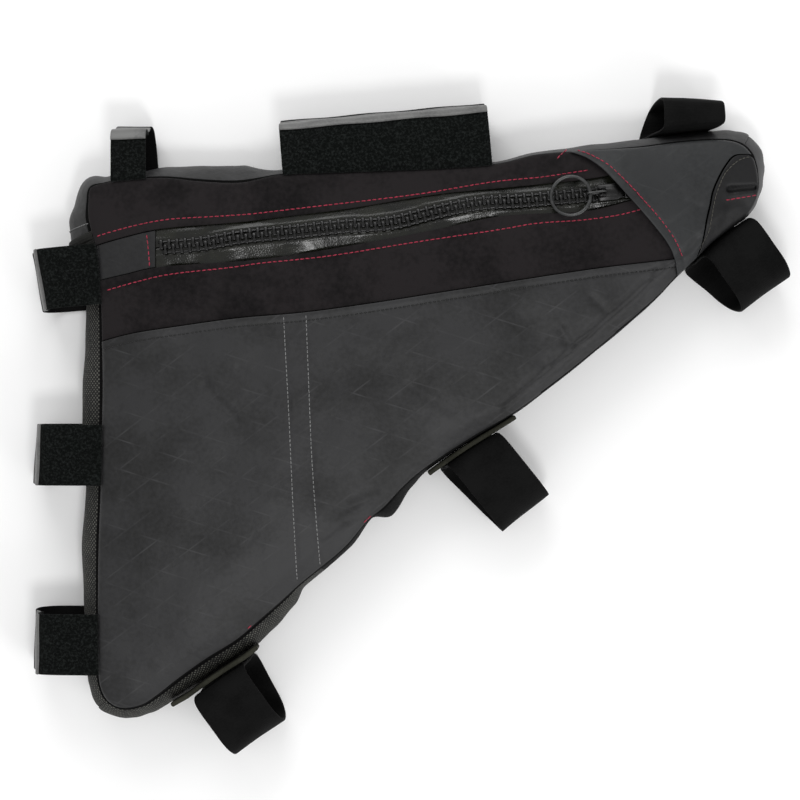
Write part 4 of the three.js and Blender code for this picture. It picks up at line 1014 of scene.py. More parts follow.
PANEL_TOP = line_through("panel top", per_row=4)
WINDOW_TOP = line_through("window top", per_row=4)
WINDOW_BOTTOM = line_through("window bottom", per_row=4)
HEM = line_through("hem", per_row=4)
CHAIN = line_through("chain")
PANEL_STITCH = PANEL_TOP - (0, PANEL_STITCH_INSET)
UNDER_HOOD_TOP = perimeter_at(np.array([row_of("under hood top")]))[0][0]
UNDER_HOOD_BOTTOM = perimeter_at(np.array([row_of("under hood bottom")]))[0][0]


def lower_panel_lift(x, y):
    return (turned_edge(x, y, PANEL_TOP, width=5.0, rise=0.75)
            - groove(x, y, PANEL_STITCH, depth=0.40)
            + dimples(x, y, ["rear double stitch", "front double stitch"], depth=0.30))


def lower_band_lift(x, y):
    return (turned_edge(x, y, WINDOW_BOTTOM, width=5.5, rise=0.55)
            - turned_edge(x, y, PANEL_TOP, width=3.0, rise=0.5)
            + dimples(x, y, ["lower red stitch"]))


def upper_band_lift(x, y):
    return (turned_edge(x, y, WINDOW_TOP, width=4.5, rise=0.55)
            + dimples(x, y, ["upper red stitch"]))


def tab_lift(x, y):
    return dimples(x, y, ["tab stitch"]) - 0.25


def tape_lift(x, y):
    """The tapes sag between the bands and the teeth, in slow waves."""
    away = distance_to(x, y, CHAIN) - TOOTH_REACH
    above = y > np.interp(x, CHAIN[:, 0], CHAIN[:, 1])
    past = np.maximum(away - TAPE_BEAD_REACH, 0)
    lift = TAPE_BEAD * np.exp(-((away - TAPE_BEAD_WIDTH) / TAPE_BEAD_WIDTH) ** 2)
    lift = lift + TAPE_SAG * np.sin(x / TAPE_SAG_LENGTH + TAPE_SAG_START) * past
    for along, half, tilt, is_above in TAPE_TILTS:
        here = tilt * np.exp(-((x - along * BAG_LENGTH) / (half * BAG_LENGTH)) ** 4) * past
        slope = np.where(above, here * np.exp(-(past / TAPE_TILT_REACH) ** 2), -here)
        lift = lift + slope * (above == is_above)
    fine = TAPE_CRINKLE * np.prod([np.sin(x / a + y / b) for a, b in TAPE_CRINKLE_LENGTHS], axis=0)
    return lift + fine - CLOTH - SEAM_GAP - TAPE_DROP


def hood_lift(x, y):
    """The hood rises over the bands, stands off them above the zip, and settles at its end."""
    under = np.array([UNDER_HOOD_TOP, UNDER_HOOD_BOTTOM])
    step = under[1] - under[0]
    past = step[0] * (y - under[0, 1]) - step[1] * (x - under[0, 0]) > 0
    settled = smoothstep(np.where(past, distance_to(x, y, under), 0), *HOOD_SETTLE)
    from_hem = distance_to(x, y, HEM)
    zip_at_hem = HEM[np.argmin(distance_to(HEM[:, 0], HEM[:, 1], CHAIN))]
    from_zip = np.hypot(x - zip_at_hem[0], y - zip_at_hem[1]) / HOOD_FLARE_REACH
    flare = HOOD_FLARE * np.exp(-2 * from_zip ** 2 - from_hem / HOOD_FLARE_REACH)
    return ((CLOTH + HOOD_LIFT) * (1 - settled) + flare
            + turned_edge(x, y, HEM, width=4.5, rise=0.5) + dimples(x, y, ["hood stitch"]))


# The body.
def front_panels(finish):
    corner, under_hood = row_of("bottom corner"), row_of("under hood bottom")
    sides = four_sides(
        perimeter_piece(corner, under_hood), line_through("panel top", -SEAM_GAP / 2),
        perimeter_piece(corner, row_of("panel top")))
    panel = front_piece("front_lower_panel", sides, finish["laminate"],
                        lower_panel_lift)
    # The panel's rim along the down-tube seam is painted dark: painted shade in the seam.
    second_finish(panel, finish["seam"], lambda x, y: distance_to(x, y, DOWN_SIDE) < PAINTED_SHADE_RIM)

    sides = four_sides(
        line_through("panel top", SEAM_GAP / 2), line_through("window bottom"),
        perimeter_piece(row_of("panel top"), row_of("tab bottom")))
    front_piece("front_lower_band", sides, finish["black"], lower_band_lift)

    sides = four_sides(
        line_through("window top"), perimeter_piece(ROWS, row_of("under hood top")),
        perimeter_piece(row_of("tab top"), 0))
    front_piece("front_upper_band", sides, finish["black"], upper_band_lift)

    sides = four_sides(*(
        part_of_line(line_through(name, shift), LINES[name][0][0], WINDOW_START)
        for name, shift in (("window bottom", SEAM_GAP), ("window top", -SEAM_GAP))))
    tab = front_piece("garage_tab", sides, finish["tab_cloth"], tab_lift)
    # The tab's rim along the seat-tube seam is painted dark: painted shade in the seam.
    second_finish(tab, finish["seam"], lambda x, y: distance_to(x, y, SEAT_SIDE) < PAINTED_SHADE_RIM)


def hood_piece(finish):
    sides = four_sides(
        perimeter_piece(row_of("hood bottom"), row_of("under hood bottom")),
        perimeter_piece(row_of("hood top"), row_of("port top")),
        line_through("hem")[::-1].copy(), line_through("port")[::-1] - (SEAM_GAP / 2, 0))
    front_piece("hood", sides, finish["hood_cloth"], hood_lift, calm=0.4)


def port_lift(x, y):
    """The port's slit, pressed in, and the bar of stitches under it."""
    slit = distance_to(x, y, placed(LINES["port slit"]))
    pressed_in = PORT_SLIT_DEPTH * np.exp(-(slit / PORT_SLIT_HALF) ** 4)
    return dimples(x, y, ["port bar"], depth=0.3) - pressed_in


def port_panel(finish):
    """The leaf-shaped panel at the nose, between the hood's end and the seam."""
    inside = line_through("port")[::-1]
    outside = perimeter_piece(row_of("under hood bottom"), row_of("port top"))
    u, v = (spaced(length, GRID_STEPS["port_panel"]) for length in (run_of(inside)[-1], PORT_WIDTH))
    share = lerp(*PORT_SHARES, u)
    start, end = point_along(inside, share), point_along(outside, share)
    way = (end - start) / np.linalg.norm(end - start, axis=1)[:, None]
    start = start + way * (LID_GAP + SEAM_GAP)
    plan = start[:, None] + (end - start)[:, None] * v[None, :, None]
    x, y = plan[..., 0], plan[..., 1]
    surface = np.dstack([x, y, front_surface(x, y, calm=0.5) + port_lift(x, y)])
    sheet_piece("port_panel", surface, UP, CLOTH, border_distance(plan, u, v), (x, y),
                finish["port_cloth"])


def wall_grid(rows, shares, proud=0.0):
    """The model's side wall at rows of the perimeter and shares of the way down it."""
    place, out, lean, belly = perimeter_at(rows)
    high = model_height(place[:, 0], place[:, 1])[0] - CLOTH - LID_GAP
    shares = np.asarray(shares)[None]
    way = lean[:, None] * shares + belly[:, None] * np.sin(math.pi * shares) + proud
    plan = place[:, None] + out[:, None] * way[..., None]
    return np.dstack([plan, lerp(high[:, None], CLOTH + SEAM_GAP, shares)])


def level_normals(out, surface):
    """The ways out of a wall's grid, level with the table."""
    return np.broadcast_to(np.column_stack([out, np.zeros(len(out))])[:, None], surface.shape)


def soft_wall(rows, shares, calm=1.0):
    """The side wall as cloth: rolled into both seams, rippled, and gathered at the corner."""
    place, out, _, _ = perimeter_at(rows)
    surface = wall_grid(rows, shares)
    shares = np.asarray(shares)[None]
    top = (front_surface(place[:, 0], place[:, 1]) - CLOTH / 2 + WALL_TOP_LAP)[:, None]
    height = lerp(top, WALL_FOOT, shares)
    run = run_of(place)[:, None]
    deep = (top - WALL_FOOT) / WALL_TUCK_REACH
    tuck = WALL_TUCK * (np.exp(-shares * deep) + np.exp(-(1 - shares) * deep))
    swell = sum(rise * np.sin(run / along + height / down + phase)
                for rise, along, down, phase in WALL_SWELLS)
    middle, half = GATHER_ROWS
    gather = np.exp(-((rows - row_of("bottom corner") - middle) / half) ** 2)[:, None]
    along, down = GATHER_LENGTHS
    swell = swell + GATHER_HEIGHT * gather * np.sin(run / along + height / down)
    way = calm * swell * np.sin(math.pi * shares) - tuck
    surface[..., :2] += out[:, None] * way[..., None]
    surface[..., 2] = height
    return surface, level_normals(out, surface), run


def wall_border(run, down):
    """How far each place of a wall's grid is from its border."""
    return np.minimum(np.minimum(run, run[-1] - run), np.minimum(down, down[0, -1] - down))


def wall_piece(name, from_row, to_row, material):
    length = run_of(perimeter_piece(from_row, to_row))[-1]
    along, shares = (spaced(size, step) for size, step in zip((length, BAG_DEPTH), WALL_STEPS))
    surface, normal, run = soft_wall(lerp(from_row, to_row, along), shares)
    down = shares[None] * BAG_DEPTH
    return sheet_piece(name, surface, normal, CLOTH, wall_border(run, down), (run, down),
                       material)


def walls(finish):
    """The four side walls, with painted shade: the cloth is painted dark where it meets the front seam,
    and the down tube's wall is painted dark past a place along it.
    """
    hem = row_of("corner hem")
    corner, nose_low, nose_top = row_of("bottom corner"), row_of("nose bottom"), row_of("nose top")
    down_tube = perimeter_piece(corner, nose_low)
    painted_shade_from = np.interp(PAINTED_SHADE_WALL_FROM * BAG_LENGTH, down_tube[:, 0], run_of(down_tube))
    seat = wall_piece("gusset_seat_tube", hem, corner, finish["pack"])
    down = wall_piece("gusset_down_tube", corner, nose_low, finish["pack"])
    nose = wall_piece("gusset_nose", nose_low, nose_top, finish["laminate"])
    top = wall_piece("gusset_top", nose_top, ROWS + hem, finish["laminate"])
    # Past this place the down tube's wall is painted in the near-black strap finish: painted shade.
    second_finish(down, finish["strap"], lambda along, across: along > painted_shade_from)
    for piece in (seat, down, nose, top):
        # The first millimetres of each wall below the front seam are painted dark: painted shade in the
        # seam.
        second_finish(piece, finish["seam"], lambda along, across: across < SEAM_SHADE)


def back_panel(finish):
    """The back: one flat panel of coarse cloth, turned up a little into its seam."""
    def back_seam(from_row, to_row):
        steps = max(2, round(abs(to_row - from_row) * 8))
        place, out, lean, _ = perimeter_at(np.linspace(from_row, to_row, steps + 1))
        return place + out * lean[:, None]

    corner, nose_low, nose_top = row_of("bottom corner"), row_of("nose bottom"), row_of("nose top")
    sides = four_sides(back_seam(corner, nose_low), back_seam(ROWS, nose_top),
                       back_seam(corner, 0), back_seam(nose_low, nose_top))
    u, v = (spaced(size, GRID_STEPS["back_panel"]) for size in BACK_SIZE)
    plan = patch(sides, u, v)
    edge = border_distance(plan, u, v)
    rim = BACK_RIM[0] * np.exp(-edge / BACK_RIM[1])
    hollow = BACK_GROOVE[0] * np.exp(-((edge - BACK_GROOVE_INSET) / BACK_GROOVE[1]) ** 2)
    sheet_piece("back_panel", np.dstack([plan, BACK_HEIGHT + rim - hollow]), UP, CLOTH, edge,
                (plan[..., 0], plan[..., 1]), finish["pack"])


def corner_binding(finish):
    """Two ribs of bound tape round the hem of the corner piece."""
    first, last = BINDING_ROWS
    lay = np.linspace(0, 1, BINDING_STEPS)
    within = np.abs(np.mod(lay * BINDING_RIBS, 1) * 2 - 1)
    low, rib = BINDING_PROUD
    proud = low + rib * np.sqrt(1 - within ** 2)
    shares = spaced(BAG_DEPTH, GRID_STEPS["corner_binding"])
    surface, normal, run = soft_wall(row_of("corner hem") + lerp(first, last, lay), shares, calm=0.4)
    surface = surface + normal * proud[:, None, None]
    down = shares[None] * BAG_DEPTH
    sheet_piece("corner_binding", surface, normal, BINDING_THICKNESS, wall_border(run, down),
                (run, down), finish["binding"])


# Straps.
ROW_STEP = 0.05
ALL_ROWS = np.arange(0, ROWS, ROW_STEP)
WALL_SHARES = np.linspace(0, 1, 9)
AT_TOP, AT_FOOT, EVERYWHERE = [0], [8], list(range(9))
ALL_PLACES, ALL_OUTS, _, _ = perimeter_at(ALL_ROWS)
ALL_WALLS = wall_grid(ALL_ROWS, WALL_SHARES)[..., :2]
LEAST_FACING = 0.5
SIDE_WINDOW = 2.5
FOOT_ROOM = 14.0
FOOT_STEP = 1.5


def strap_frame(strap):
    """Where a strap leaves the bag, the ways out of it and across it, and the front's height."""
    target = placed([(strap.along, strap.up)])[0]
    place = ALL_PLACES[np.argmin(np.hypot(*(ALL_PLACES - target).T))]
    turn = math.radians(strap.way)
    high = float(model_height(place[:1], place[1:])[0][0])
    return {"place": place, "out": np.array([math.cos(turn), math.sin(turn)]),
            "across": np.array([-math.sin(turn), math.cos(turn)]), "high": high}


def wall_reach(at, side, shares):
    """How far the wall reaches out in a strap's frame, at one place across the strap."""
    away = ALL_PLACES - at["place"]
    facing = ALL_OUTS @ at["out"] > LEAST_FACING
    close = (np.abs(away @ at["across"] - side) < SIDE_WINDOW) & (np.hypot(*away.T) < TOP_PAD_WIDTH)
    reaches = ((ALL_WALLS[:, shares] - at["place"]) @ at["out"]).max(axis=1)
    found = reaches[facing & close]
    return found.max() if len(found) else np.nan


def foot_of(at, width, shares):
    """How much further out the wall stands across a strap than in its middle."""
    sides = np.arange(-width / 2 - FOOT_ROOM, width / 2 + FOOT_ROOM, FOOT_STEP)
    reaches = np.array([wall_reach(at, side, shares) for side in sides])
    known = ~np.isnan(reaches)
    middle = wall_reach(at, 0, shares)
    return lambda side: np.interp(side, sides[known], reaches[known]) - middle


def band(name, strap, profile, thickness, ring, foot, material):
    """A strap swept from its profile of (out, z) points, with round edges."""
    at = strap_frame(strap)
    if ring:
        ahead, behind = np.roll(profile, -1, axis=0), np.roll(profile, 1, axis=0)
    else:
        ahead = np.vstack([profile[1:], profile[-1:]])
        behind = np.vstack([profile[:1], profile[:-1]])
    step = ahead - behind
    normal = np.column_stack([step[:, 1], -step[:, 0]])
    normal = normal / np.linalg.norm(normal, axis=1)[:, None]
    base = profile[:, 0].min()
    room = strap.reach * BAG_DEPTH - base
    far_share = np.clip((profile[:, 0] - base) / room, 0, 1)[:, None]
    foot_share = np.maximum(0, 1 - 2 * far_share)
    side_shares = spaced(strap.width, BAND_STEP)
    sides = (side_shares - 0.5)[None] * strap.width
    run = run_of(profile)[:, None]
    across_wave, along_wave = BAND_WAVE_LENGTHS
    soft = (BAND_WAVE * np.sin(sides / across_wave + run / along_wave)
            * np.minimum(1, run / BAND_WAVE_FADE))

    def layer(half):
        z = np.maximum(profile[:, 1] + normal[:, 1] * half, GROUND_GAP)[:, None]
        skewed = sides + (strap.skew * BAG_DEPTH * (1 - z / at["high"])
                          * (1 - SKEW_EASE * far_share))
        out = (profile[:, 0] + normal[:, 0] * half)[:, None] + foot(skewed) * foot_share
        out = out + strap.slant * sides * np.maximum(0, (out - base) / room)
        out = out + soft * (1 - foot_share)
        plan = at["place"] + out[..., None] * at["out"] + skewed[..., None] * at["across"]
        return np.dstack([plan, np.broadcast_to(z, out.shape)])

    outer, inner = layer(thickness / 2), layer(-thickness / 2)
    lean = outer - inner
    lean = lean / np.linalg.norm(lean, axis=-1, keepdims=True)
    edge = np.minimum(side_shares, 1 - side_shares)[None] * strap.width
    if not ring:
        edge = np.minimum(edge, np.minimum(run, run[-1] - run))
    edge = np.broadcast_to(edge, outer.shape[:2])
    return sheet_piece(name, outer, lean, thickness, edge, (run, sides), material, ring)


def loop_half_points(at, strap):
    start = wall_reach(at, 0, AT_TOP) + FOOT_GAP
    return np.array([
        (start + out * strap.reach * BAG_DEPTH, at["high"] + WEBBING / 2 - drop * BAG_DEPTH)
        for out, drop in LOOP_HALF_PROFILE])


def tab_strap(strap, finish):
    """A hook-and-loop strap: the pile half out of the front seam, the tab half pressed on it."""
    at = strap_frame(strap)
    points = loop_half_points(at, strap)
    profile = curve_points(np.vstack([points[0] - ROOT_TUCK, points]),
                           np.linspace(0, 1, LOOP_STEPS))
    band(f"{strap.name}_loop", strap, profile, WEBBING, False, foot_of(at, strap.width, AT_TOP),
         finish["pile"])

    start = wall_reach(at, 0, AT_FOOT) + FOOT_GAP
    end = wall_reach(at, 0, AT_TOP) + strap.reach * BAG_DEPTH
    ground = TAB_THICKNESS / 2 + GROUND_GAP
    rising = [(end + past * BAG_DEPTH, ground + rise * at["high"])
              for past, rise in HOOK_HALF_PROFILE]
    hug = (WEBBING + TAB_THICKNESS) / 2 + SEAM_GAP
    stop = lerp(points[0, 0], points[-2, 0], strap.tab_from)
    over = curve_points(points, np.linspace(1, 0, TAB_LAY_STEPS))
    over = over[(over[:, 0] > stop) | (over[:, 1] < points[3, 1])]
    way = np.gradient(over, axis=0)
    way = way / np.linalg.norm(way, axis=1)[:, None]
    pressed_on = (over + np.column_stack([way[:, 1], -way[:, 0]]) * hug)[::TAB_LAY_STRIDE]
    path = [(start, ground), ((start + rising[0][0]) / 2, ground), *rising, *pressed_on]
    profile = curve_points(path, np.linspace(0, 1, TAB_STEPS))
    tab = band(f"{strap.name}_hook", strap, profile, TAB_THICKNESS, False,
               foot_of(at, strap.width, AT_FOOT), finish["strap"])
    pale_from = run_of(profile)[-1] - run_of(pressed_on)[-1] - PALE_END
    second_finish(tab, finish["tab"], lambda along, across: along > pale_from)


def loop_strap(strap, finish):
    """A plain strap: one closed loop that stands against the wall or its keeper."""
    at = strap_frame(strap)
    keeper = (KEEPER_THICKNESS + LID_GAP) if strap.keeper else 0.0
    near = wall_reach(at, 0, EVERYWHERE) + keeper + SEAM_GAP + LOOP_CLEARANCE + WEBBING / 2
    far = strap.reach * BAG_DEPTH
    low, high = WEBBING / 2 + GROUND_GAP, at["high"] - WEBBING - SEAM_GAP
    path = [(lerp(near, far, out), lerp(low, high, rise)) for out, rise in PLAIN_STRAP_PROFILE]
    profile = curve_points(path, np.arange(RING_STEPS) / RING_STEPS, closed=True)
    band(strap.name, strap, profile, WEBBING, True, foot_of(at, strap.width, EVERYWHERE),
         finish["strap"])


def keeper_strip(strap, finish):
    """A stiff strip of webbing that stands along the wall, longer than its strap is wide."""
    at = strap_frame(strap)
    half = strap.width / 2 + KEEPER_OVERHANG
    away = np.hypot(*(ALL_PLACES - at["place"]).T)
    ends = []
    for way in (-1, 1):
        index = int(np.argmin(away))
        while away[index % len(away)] < half:
            index += way
        ends.append(index * ROW_STEP)
    rows = lerp(*ends, spaced(2 * half, KEEPER_STEP))
    first, last = KEEPER_SHARES
    shares = lerp(first, last, spaced(BAG_DEPTH * (last - first), KEEPER_STEP))
    surface = wall_grid(rows, shares, KEEPER_THICKNESS)
    surface[..., :2] = surface[:, -1:, :2]
    place, out, _, _ = perimeter_at(rows)
    run = run_of(place)[:, None]
    down = ((shares - first) * BAG_DEPTH)[None]
    sheet_piece(f"{strap.name}_keeper", surface, level_normals(out, surface), KEEPER_THICKNESS,
                wall_border(run, down), (run, down), finish["keeper"])


# The zip.
def chain_frame(x, height):
    """Places on the chain with their ways along it, across it and up, for many x at once."""
    x = np.atleast_1d(np.asarray(x, float))
    here, ahead = point_at_x(CHAIN, x), point_at_x(CHAIN, x + 1)
    plan = (ahead - here) / np.linalg.norm(ahead - here, axis=1)[:, None]
    half = SLIDER_WIDTH / 2

    def rise(way):
        a, b = here + way * half, here - way * half
        return (model_height(*a.T)[0] - model_height(*b.T)[0]) / SLIDER_WIDTH

    side = np.column_stack([-plan[:, 1], plan[:, 0]])
    forward = np.column_stack([plan, rise(plan)])
    across = np.column_stack([side, rise(side)])
    up = np.cross(forward, across)
    up = up / np.linalg.norm(up, axis=1)[:, None]
    forward = forward / np.linalg.norm(forward, axis=1)[:, None]
    across = np.cross(up, forward)
    origin = np.column_stack([here, model_height(*here.T)[0] + height])
    return origin, forward, across, up


def in_frame(at, local, index=0):
    origin, forward, across, up = (part[index] for part in at)
    local = np.asarray(local, float)
    return origin + local[..., :1] * forward + local[..., 1:2] * across + local[..., 2:3] * up


def prism(outline, levels):
    """A solid between stacked copies of an outline: each level is (height, inset)."""
    outline = np.asarray(outline, float)
    count = len(outline)
    high, low = outline.max(axis=0), outline.min(axis=0)
    middle, size = (high + low) / 2, np.maximum((high - low) / 2, 1e-6)
    points, faces = [], []
    for height, inset in levels:
        ring = middle + (outline - middle) * (1 - np.minimum(inset / size, 0.95))
        points.append(np.column_stack([ring, np.full(count, height)]))
    for first in range(0, (len(levels) - 1) * count, count):
        for index in range(count):
            a, b = first + index, first + (index + 1) % count
            faces.append((a, b, b + count, a + count))
    faces.append(tuple(reversed(range(count))))
    faces.append(tuple(range((len(levels) - 1) * count, len(levels) * count)))
    return np.vstack(points), faces


def joined(parts):
    """Several (points, faces) as one."""
    points, faces, first = [], [], 0
    for part_points, part_faces in parts:
        points.append(part_points)
        faces.extend(tuple(index + first for index in face) for face in part_faces)
        first += len(part_points)
    return np.vstack(points), faces


def tube(path, radii, beside, sides=8, closed=False):
    """Round wire or thread along a path; beside is any way that the path never takes."""
    path = np.asarray(path, float)
    count = len(path)
    if closed:
        way = np.roll(path, -1, axis=0) - np.roll(path, 1, axis=0)
    else:
        way = np.gradient(path, axis=0)
    way = way / np.linalg.norm(way, axis=1)[:, None]
    first = np.cross(way, np.broadcast_to(beside, way.shape))
    first = first / np.linalg.norm(first, axis=1)[:, None]
    second = np.cross(way, first)
    turn = np.arange(sides) / sides * 2 * math.pi
    ring = np.cos(turn)[:, None] * first[:, None] + np.sin(turn)[:, None] * second[:, None]
    points = path[:, None] + ring * np.broadcast_to(radii, (count,))[:, None, None]
    faces = []
    for index in range(count if closed else count - 1):
        start, after = index * sides, (index + 1) % count * sides
        for side in range(sides):
            turned = (side + 1) % sides
            faces.append((start + side, start + turned, after + turned, after + side))
    if not closed:
        faces.append(tuple(reversed(range(sides))))
        faces.append(tuple(range((count - 1) * sides, count * sides)))
    return points.reshape(-1, 3), faces


def zip_teeth(half, finish):
    """One half of the chain: moulded teeth with heads that lock, on a round cord."""
    side = 1 if half == "upper" else -1
    count = int((CHAIN_END - WINDOW_START) * BAG_LENGTH // TOOTH_PITCH) - 1
    first = WINDOW_START * BAG_LENGTH + FIRST_TEETH[half] * TOOTH_PITCH
    x = first + np.arange(count) * TOOTH_PITCH
    at = chain_frame(x, 0.0)
    outline = TOOTH_HALF_OUTLINE + [(-a, b) for a, b in reversed(TOOTH_HALF_OUTLINE)]
    outline = [(a, b * side) for a, b in outline[::side]]
    tooth_points, tooth_faces = prism(
        outline, [(TEETH_TOP - under, inset) for under, inset in TOOTH_LEVELS])
    parts = [(in_frame(at, tooth_points, index), tooth_faces) for index in range(count)]
    run = np.linspace(x[0] - CORD_PAST, x[-1] + CORD_PAST, count * 2)
    cord_at = chain_frame(run, 0.0)
    cord = [in_frame(cord_at, [0, side * (TOOTH_REACH - CORD_INSET), TEETH_BASE], index)
            for index in range(len(run))]
    parts.append(tube(cord, CORD_RADIUS, UP))
    points, faces = joined(parts)
    name = f"zip_teeth_{half}"
    add_piece(name, points, faces, finish["acetal"], (name,))


def zip_tapes(finish):
    start = WINDOW_START - TAPE_OVERLAP / BAG_LENGTH
    for half, edge_name, side in (("upper", "window top", 1), ("lower", "window bottom", -1)):
        outer = part_of_line(line_through(edge_name, side * TAPE_OVERLAP), start, CHAIN_END)
        inner = part_of_line(CHAIN, start, CHAIN_END) + (0, side * TAPE_SLIT / 2)
        sides = four_sides(*(inner, outer)[::side])
        front_piece(f"zip_tape_{half}", sides, finish["tape"], tape_lift,
                    TAPE_THICKNESS)


def stadium(centres, radius):
    """A flat oval path round two centres in the XZ plane."""
    (ax, az), (bx, bz) = centres
    axis = math.atan2(bz - az, bx - ax)
    path = []
    for (cx, cz), turn in (((ax, az), math.pi / 2), ((bx, bz), -math.pi / 2)):
        for angle in axis + turn + np.linspace(0, math.pi, BAIL_END_STEPS):
            path.append((cx + math.cos(angle) * radius, 0, cz + math.sin(angle) * radius))
    return path


def zip_pull(finish):
    """The slider with its ears and pin, the bail that turns on the pin, and the ring."""
    pin_place = -SLIDER_LENGTH / 3
    bail_room = (max(RING_WIRE, SLIDER_PIN) + BAIL_WIRE) / 2 + SEAM_GAP
    pin_height = SLIDER_THICKNESS + SEAM_GAP + BAIL_WIRE / 2 + bail_room
    at = chain_frame(SLIDER_ALONG * BAG_LENGTH, TEETH_TOP + SEAM_GAP)
    plan = np.array([(a, -b) for a, b in SLIDER_SIDE] + SLIDER_SIDE[::-1])
    plan = plan * (SLIDER_LENGTH / 2, SLIDER_WIDTH / 2)
    parts = [prism(plan, SLIDER_LEVELS), prism(plan * SLIDER_PANEL, PANEL_LEVELS)]
    ear_levels = [(SLIDER_THICKNESS / 2, 0)]
    ear_levels += [(pin_height + above, inset) for above, inset in EAR_LEVELS]
    ear_middle = BAIL_WIRE / 2 + SEAM_GAP + EAR_ROOM / 2 + EAR_HALF[1]
    for way in (-1, 1):
        ear = np.array(EAR_OUTLINE) * EAR_HALF + (pin_place, way * ear_middle)
        parts.append(prism(ear, ear_levels))
    pin = [(pin_place, y, pin_height) for y in np.linspace(-ear_middle, ear_middle, 4)]
    parts.append(tube(pin, SLIDER_PIN / 2, UP, RING_SIDES))
    points, faces = joined(parts)
    add_piece("zip_slider", in_frame(at, points), faces, finish["slider"], ("zip_slider",))

    ring_radius = (RING_DIAMETER - RING_WIRE) / 2
    tip = math.radians(RING_TILT)
    tipped = np.array([math.cos(tip), 0, math.sin(tip)]) * ring_radius
    ring_along = SLIDER_ALONG * BAG_LENGTH + pin_place - BAIL_SPAN - ring_radius
    ring_at = chain_frame(ring_along, TEETH_TOP + tipped[2] + RING_WIRE / 2 + SEAM_GAP)
    turn = (np.arange(RING_STEPS) / RING_STEPS * 2 * math.pi)[:, None]
    circle = np.cos(turn) * tipped + np.sin(turn) * (0, ring_radius, 0)
    points, faces = tube(in_frame(ring_at, circle), RING_WIRE / 2, ring_at[3][0], RING_SIDES,
                         closed=True)
    add_piece("zip_ring_pull", points, faces, finish["metal"], ("zip_ring_pull",))

    edge = in_frame(ring_at, tipped)
    local = [float((edge - at[0][0]) @ at[axis][0]) for axis in (1, 3)]
    oval = stadium([(pin_place, pin_height), local], bail_room)
    points, faces = tube(in_frame(at, oval), BAIL_WIRE / 2, at[2][0], BAIL_SIDES, closed=True)
    add_piece("zip_bail", points, faces, finish["metal"], ("zip_bail",))


# Stitching.
def on_front(line, lift):
    """A line of the front as a close row of places, laid on the surface with its lift."""
    run = run_of(line)
    even = point_along(line, np.linspace(0, 1, max(4, int(run[-1] / STITCH_PATH_STEP))))
    height = front_surface(even[:, 0], even[:, 1]) + lift(even[:, 0], even[:, 1])
    return np.column_stack([even, height]), np.broadcast_to(UP, (len(even), 3))


def stitch_row(name, path, normals, pitch, material, thread=THREAD):
    """A row of lockstitches: short arcs of thread whose ends go down into the cloth."""
    chance = np.random.default_rng(len(name) * 101 + len(path))
    run = run_of(path)
    parts = []
    for number in range(int((run[-1] - STITCH_END_ROOM) // pitch)):
        start = (number + STITCH_START + chance.uniform(-STITCH_UNEVEN, STITCH_UNEVEN)) * pitch
        steps = start + pitch * STITCH_SHARE * np.linspace(0, 1, len(STITCH_RISE))
        places, up = (np.stack([np.interp(steps, run, line[:, axis]) for axis in range(3)], axis=-1)
                      for line in (path, normals))
        beside = np.cross(places[-1] - places[0], up[0])
        beside = beside / np.linalg.norm(beside)
        slip = np.linspace(-1, 1, len(STITCH_RISE))[:, None] * chance.uniform(-STITCH_SLIP, STITCH_SLIP)
        arc = places + up * STITCH_RISE[:, None] + slip * beside
        parts.append(tube(arc, STITCH_SWELL * thread / 2, up[0], THREAD_SIDES))
    points, faces = joined(parts)
    add_piece(name, points, faces, material)


def stitching(finish):
    """Every row of stitches: the front's by name, line, lift and thread, and the corner's."""
    red, grey, dark = finish["red_thread"], finish["grey_thread"], finish["dark_thread"]
    olive = finish["olive_thread"]
    panel_stitch = part_of_line(PANEL_STITCH, *PANEL_STITCH_SPAN)
    rows = [
        ("red_stitches_upper", line_through("upper red stitch"), upper_band_lift, red),
        ("red_stitches_lower", line_through("lower red stitch"), lower_band_lift, red),
        ("red_stitches_garage", line_through("tab stitch"), tab_lift, red),
        ("red_stitches_hood", line_through("hood stitch"), hood_lift, red),
        ("red_stitches_port", placed(LINES["port bar"]), port_lift, red),
        ("red_stitches_flap", line_through("flap stitch"), upper_band_lift, red),
        ("red_tack_upper", placed(LINES["upper seam tack"]), lower_panel_lift, red),
        ("red_tack_lower", placed(LINES["lower seam tack"]), lower_panel_lift, red),
        ("grey_stitches_rear", line_through("rear double stitch"), lower_panel_lift, grey),
        ("grey_stitches_front", line_through("front double stitch"), lower_panel_lift, grey),
        ("dark_stitches_panel", panel_stitch, lower_panel_lift, dark),
        ("grey_stitches_port", line_through("port stitch"), port_lift, olive),
    ]
    for name, line, lift, material in rows:
        path, normals = on_front(line, lift)
        thread = THREAD * (FINE_THREAD if material in (grey, olive) else 1)
        pitch = RED_STITCH if material is red else DARK_STITCH
        stitch_row(name, path, normals, pitch, material, thread)
    hem = row_of("corner hem") + CORNER_STITCH_ROW
    surface, normal, _ = soft_wall(np.array([hem, hem + 0.01]),
                                   np.linspace(*CORNER_STITCH_SHARES, CORNER_STITCH_STEPS))
    stitch_row("grey_stitches_corner", surface[0], normal[0], DARK_STITCH, grey,
               THREAD * CORNER_THREAD)


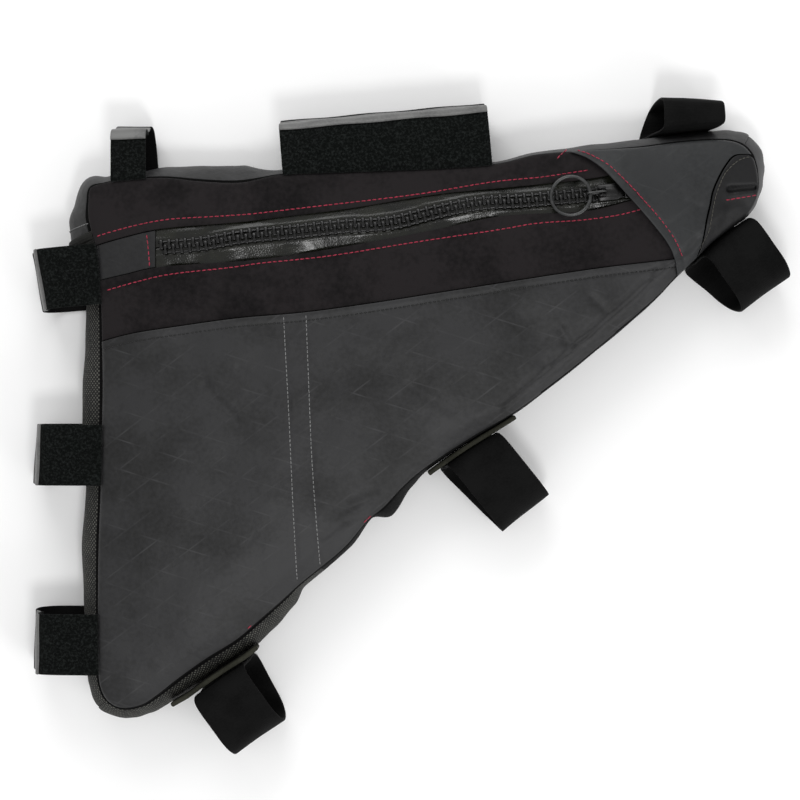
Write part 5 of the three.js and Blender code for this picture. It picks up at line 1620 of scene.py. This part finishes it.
def make_finishes():
    return {
        "laminate": laminated_sailcloth("laminated_sailcloth", "171717", "282829", "323233"),
        "hood_cloth": laminated_sailcloth("hood_sailcloth", "1b1c1d", "28292a", "2e2f30"),
        "tab_cloth": laminated_sailcloth("garage_sailcloth", "161617", "202021", "262627"),
        "port_cloth": laminated_sailcloth("port_sailcloth", "0a0a0b", "151516", "1c1c1d"),
        "black": dyed_nylon("dyed_nylon", "0c0a0b", "1d1a1b"),
        "pack": coarse_pack_cloth("coarse_pack_cloth", "020202", "5c5c55"),
        # Painted shade in the seams: a near-black finish for the rims of cloth beside them.
        "seam": woven_tape("painted_seam_shade", "040404", "090909", 1.4, 0.03),
        "pile": napped_loop_pile("napped_loop_pile", "050706", "222524"),
        "strap": woven_tape("woven_strap_back", "050505", "0e0e0e", 1.6, 0.07),
        "binding": woven_tape("woven_binding_tape", "121210", "1e1e1c", 1.4, 0.2),
        "keeper": woven_tape("woven_keeper_web", "17170f", "2a2a22", 2.2, 0.2),
        "tab": stiff_tab_laminate("stiff_tab_laminate", "424242", "5e5e5d"),
        "tape": coated_zip_tape("coated_zip_tape", "080907", "15160f"),
        "acetal": moulded_acetal("moulded_acetal", "020202", "070707"),
        "metal": painted_zinc("painted_zinc", "1c1d1d", "3c3d3d"),
        "slider": painted_zinc("painted_zinc_slider", "040404", "121212", 0.25),
        "red_thread": spun_thread("red_polyester_thread", "680a1e", "a42644"),
        "grey_thread": spun_thread("grey_polyester_thread", "5c5c5c", "868686"),
        "dark_thread": spun_thread("dark_polyester_thread", "060606", "121212"),
        "olive_thread": spun_thread("olive_polyester_thread", "2c2b27", "4c4a42"),
    }


SHIFT = find_shift()
make_camera()
make_studio()
finish = make_finishes()
front_panels(finish)
hood_piece(finish)
port_panel(finish)
walls(finish)
back_panel(finish)
corner_binding(finish)
for strap in TAB_STRAPS:
    tab_strap(strap, finish)
for strap in LOOP_STRAPS:
    loop_strap(strap, finish)
    if strap.keeper:
        keeper_strip(strap, finish)
zip_tapes(finish)
for half in FIRST_TEETH:
    zip_teeth(half, finish)
zip_pull(finish)
stitching(finish)
